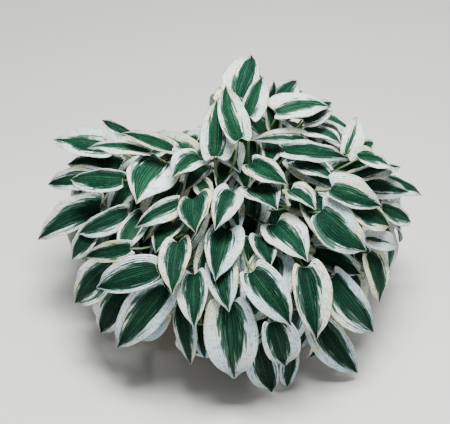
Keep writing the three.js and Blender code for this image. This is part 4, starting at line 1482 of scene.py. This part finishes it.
def add_area_light(name, at, aim, size, watts, tint):
    light = bpy.data.lights.new(name, "AREA")
    light.size = size
    light.energy = watts
    light.color = tint
    lamp = bpy.data.objects.new(name, light)
    lamp.location = at
    lamp.rotation_euler = (Vector(aim) - Vector(at)).to_track_quat("-Z", "Y").to_euler()
    bpy.context.collection.objects.link(lamp)


def add_lights():
    for name, at, size, watts, tint in LIGHTS:
        add_area_light(name, at, LIGHTS_AIM, size, watts, tint)
    world = bpy.data.worlds.new("studio")
    world.use_nodes = True
    sky = world.node_tree.nodes["Background"]
    sky.inputs["Color"].default_value = SKY_TINT
    sky.inputs["Strength"].default_value = SKY_STRENGTH
    bpy.context.scene.world = world


def add_camera():
    lens = bpy.data.cameras.new("photo_view")
    lens.sensor_width = SENSOR_WIDTH
    lens.lens = VIEW_FOCAL / PHOTO_WIDTH * SENSOR_WIDTH
    lens.clip_end = CAMERA_REACH
    camera = bpy.data.objects.new("photo_view", lens)
    camera.location = Vector(VIEW_EYE) * MM
    camera.rotation_euler = (math.radians(90 - VIEW_ELEVATION), 0, 0)
    bpy.context.collection.objects.link(camera)
    bpy.context.scene.camera = camera


# ------------------------------------------------------------------ the plant
def arrange():
    """The numbered leaves, which stand for CAD nodes, and the others that fill the mound."""
    placed = {}
    numbered = place_seen_leaves(NEAR_LEAVES, placed, NEAR_SLIDES) + place_far_leaves()
    blades = [(leaf, blade_samples(leaf)) for leaf in numbered]
    stalks = []
    route_stalks(numbered, blades, stalks, BENDS)
    others = place_seen_leaves(BETWEEN_LEAVES, placed, BETWEEN_SLIDES, BETWEEN_BEHIND)
    others += place_gap_leaves(placed)
    samples = [blade_samples(leaf) for leaf in numbered + others]
    others += place_crest_leaves(samples, placed)
    others += place_fill_leaves(samples, placed)
    blades += [(leaf, blade_samples(leaf)) for leaf in others]
    route_stalks(others, blades, stalks, QUICK_BENDS)
    return numbered, others


def add_plant():
    numbered, others = arrange()
    finishes = [leaf_top(), leaf_underside(), leaf_stalk()]
    for number, leaf in enumerate(numbered, 1):
        leaf.looks = Looks(number, leaf)
        name = f"leaf_{number:02d}"
        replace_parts(model_leaves(f"hosta_{name}", [leaf], finishes, FULL_DETAIL), name)
    sectors = {}
    for number, leaf in enumerate(others, FIRST_OTHER):
        leaf.looks = Looks(number, leaf)
        angle = math.atan2(leaf.base[1], leaf.base[0]) / (2 * math.pi) + 0.5
        sectors.setdefault(int(angle * LEAF_GROUPS) % LEAF_GROUPS, []).append(leaf)
    for sector, leaves in sorted(sectors.items()):
        model_leaves(f"inner_leaves_{sector + 1}", leaves, finishes, INNER_DETAIL)


add_camera()
add_lights()
add_floor()
add_plant()
model_pot(clay())
model_soil(soil())
model_bark(bark())
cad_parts["crown"].material_slots[0].material = rootstock()
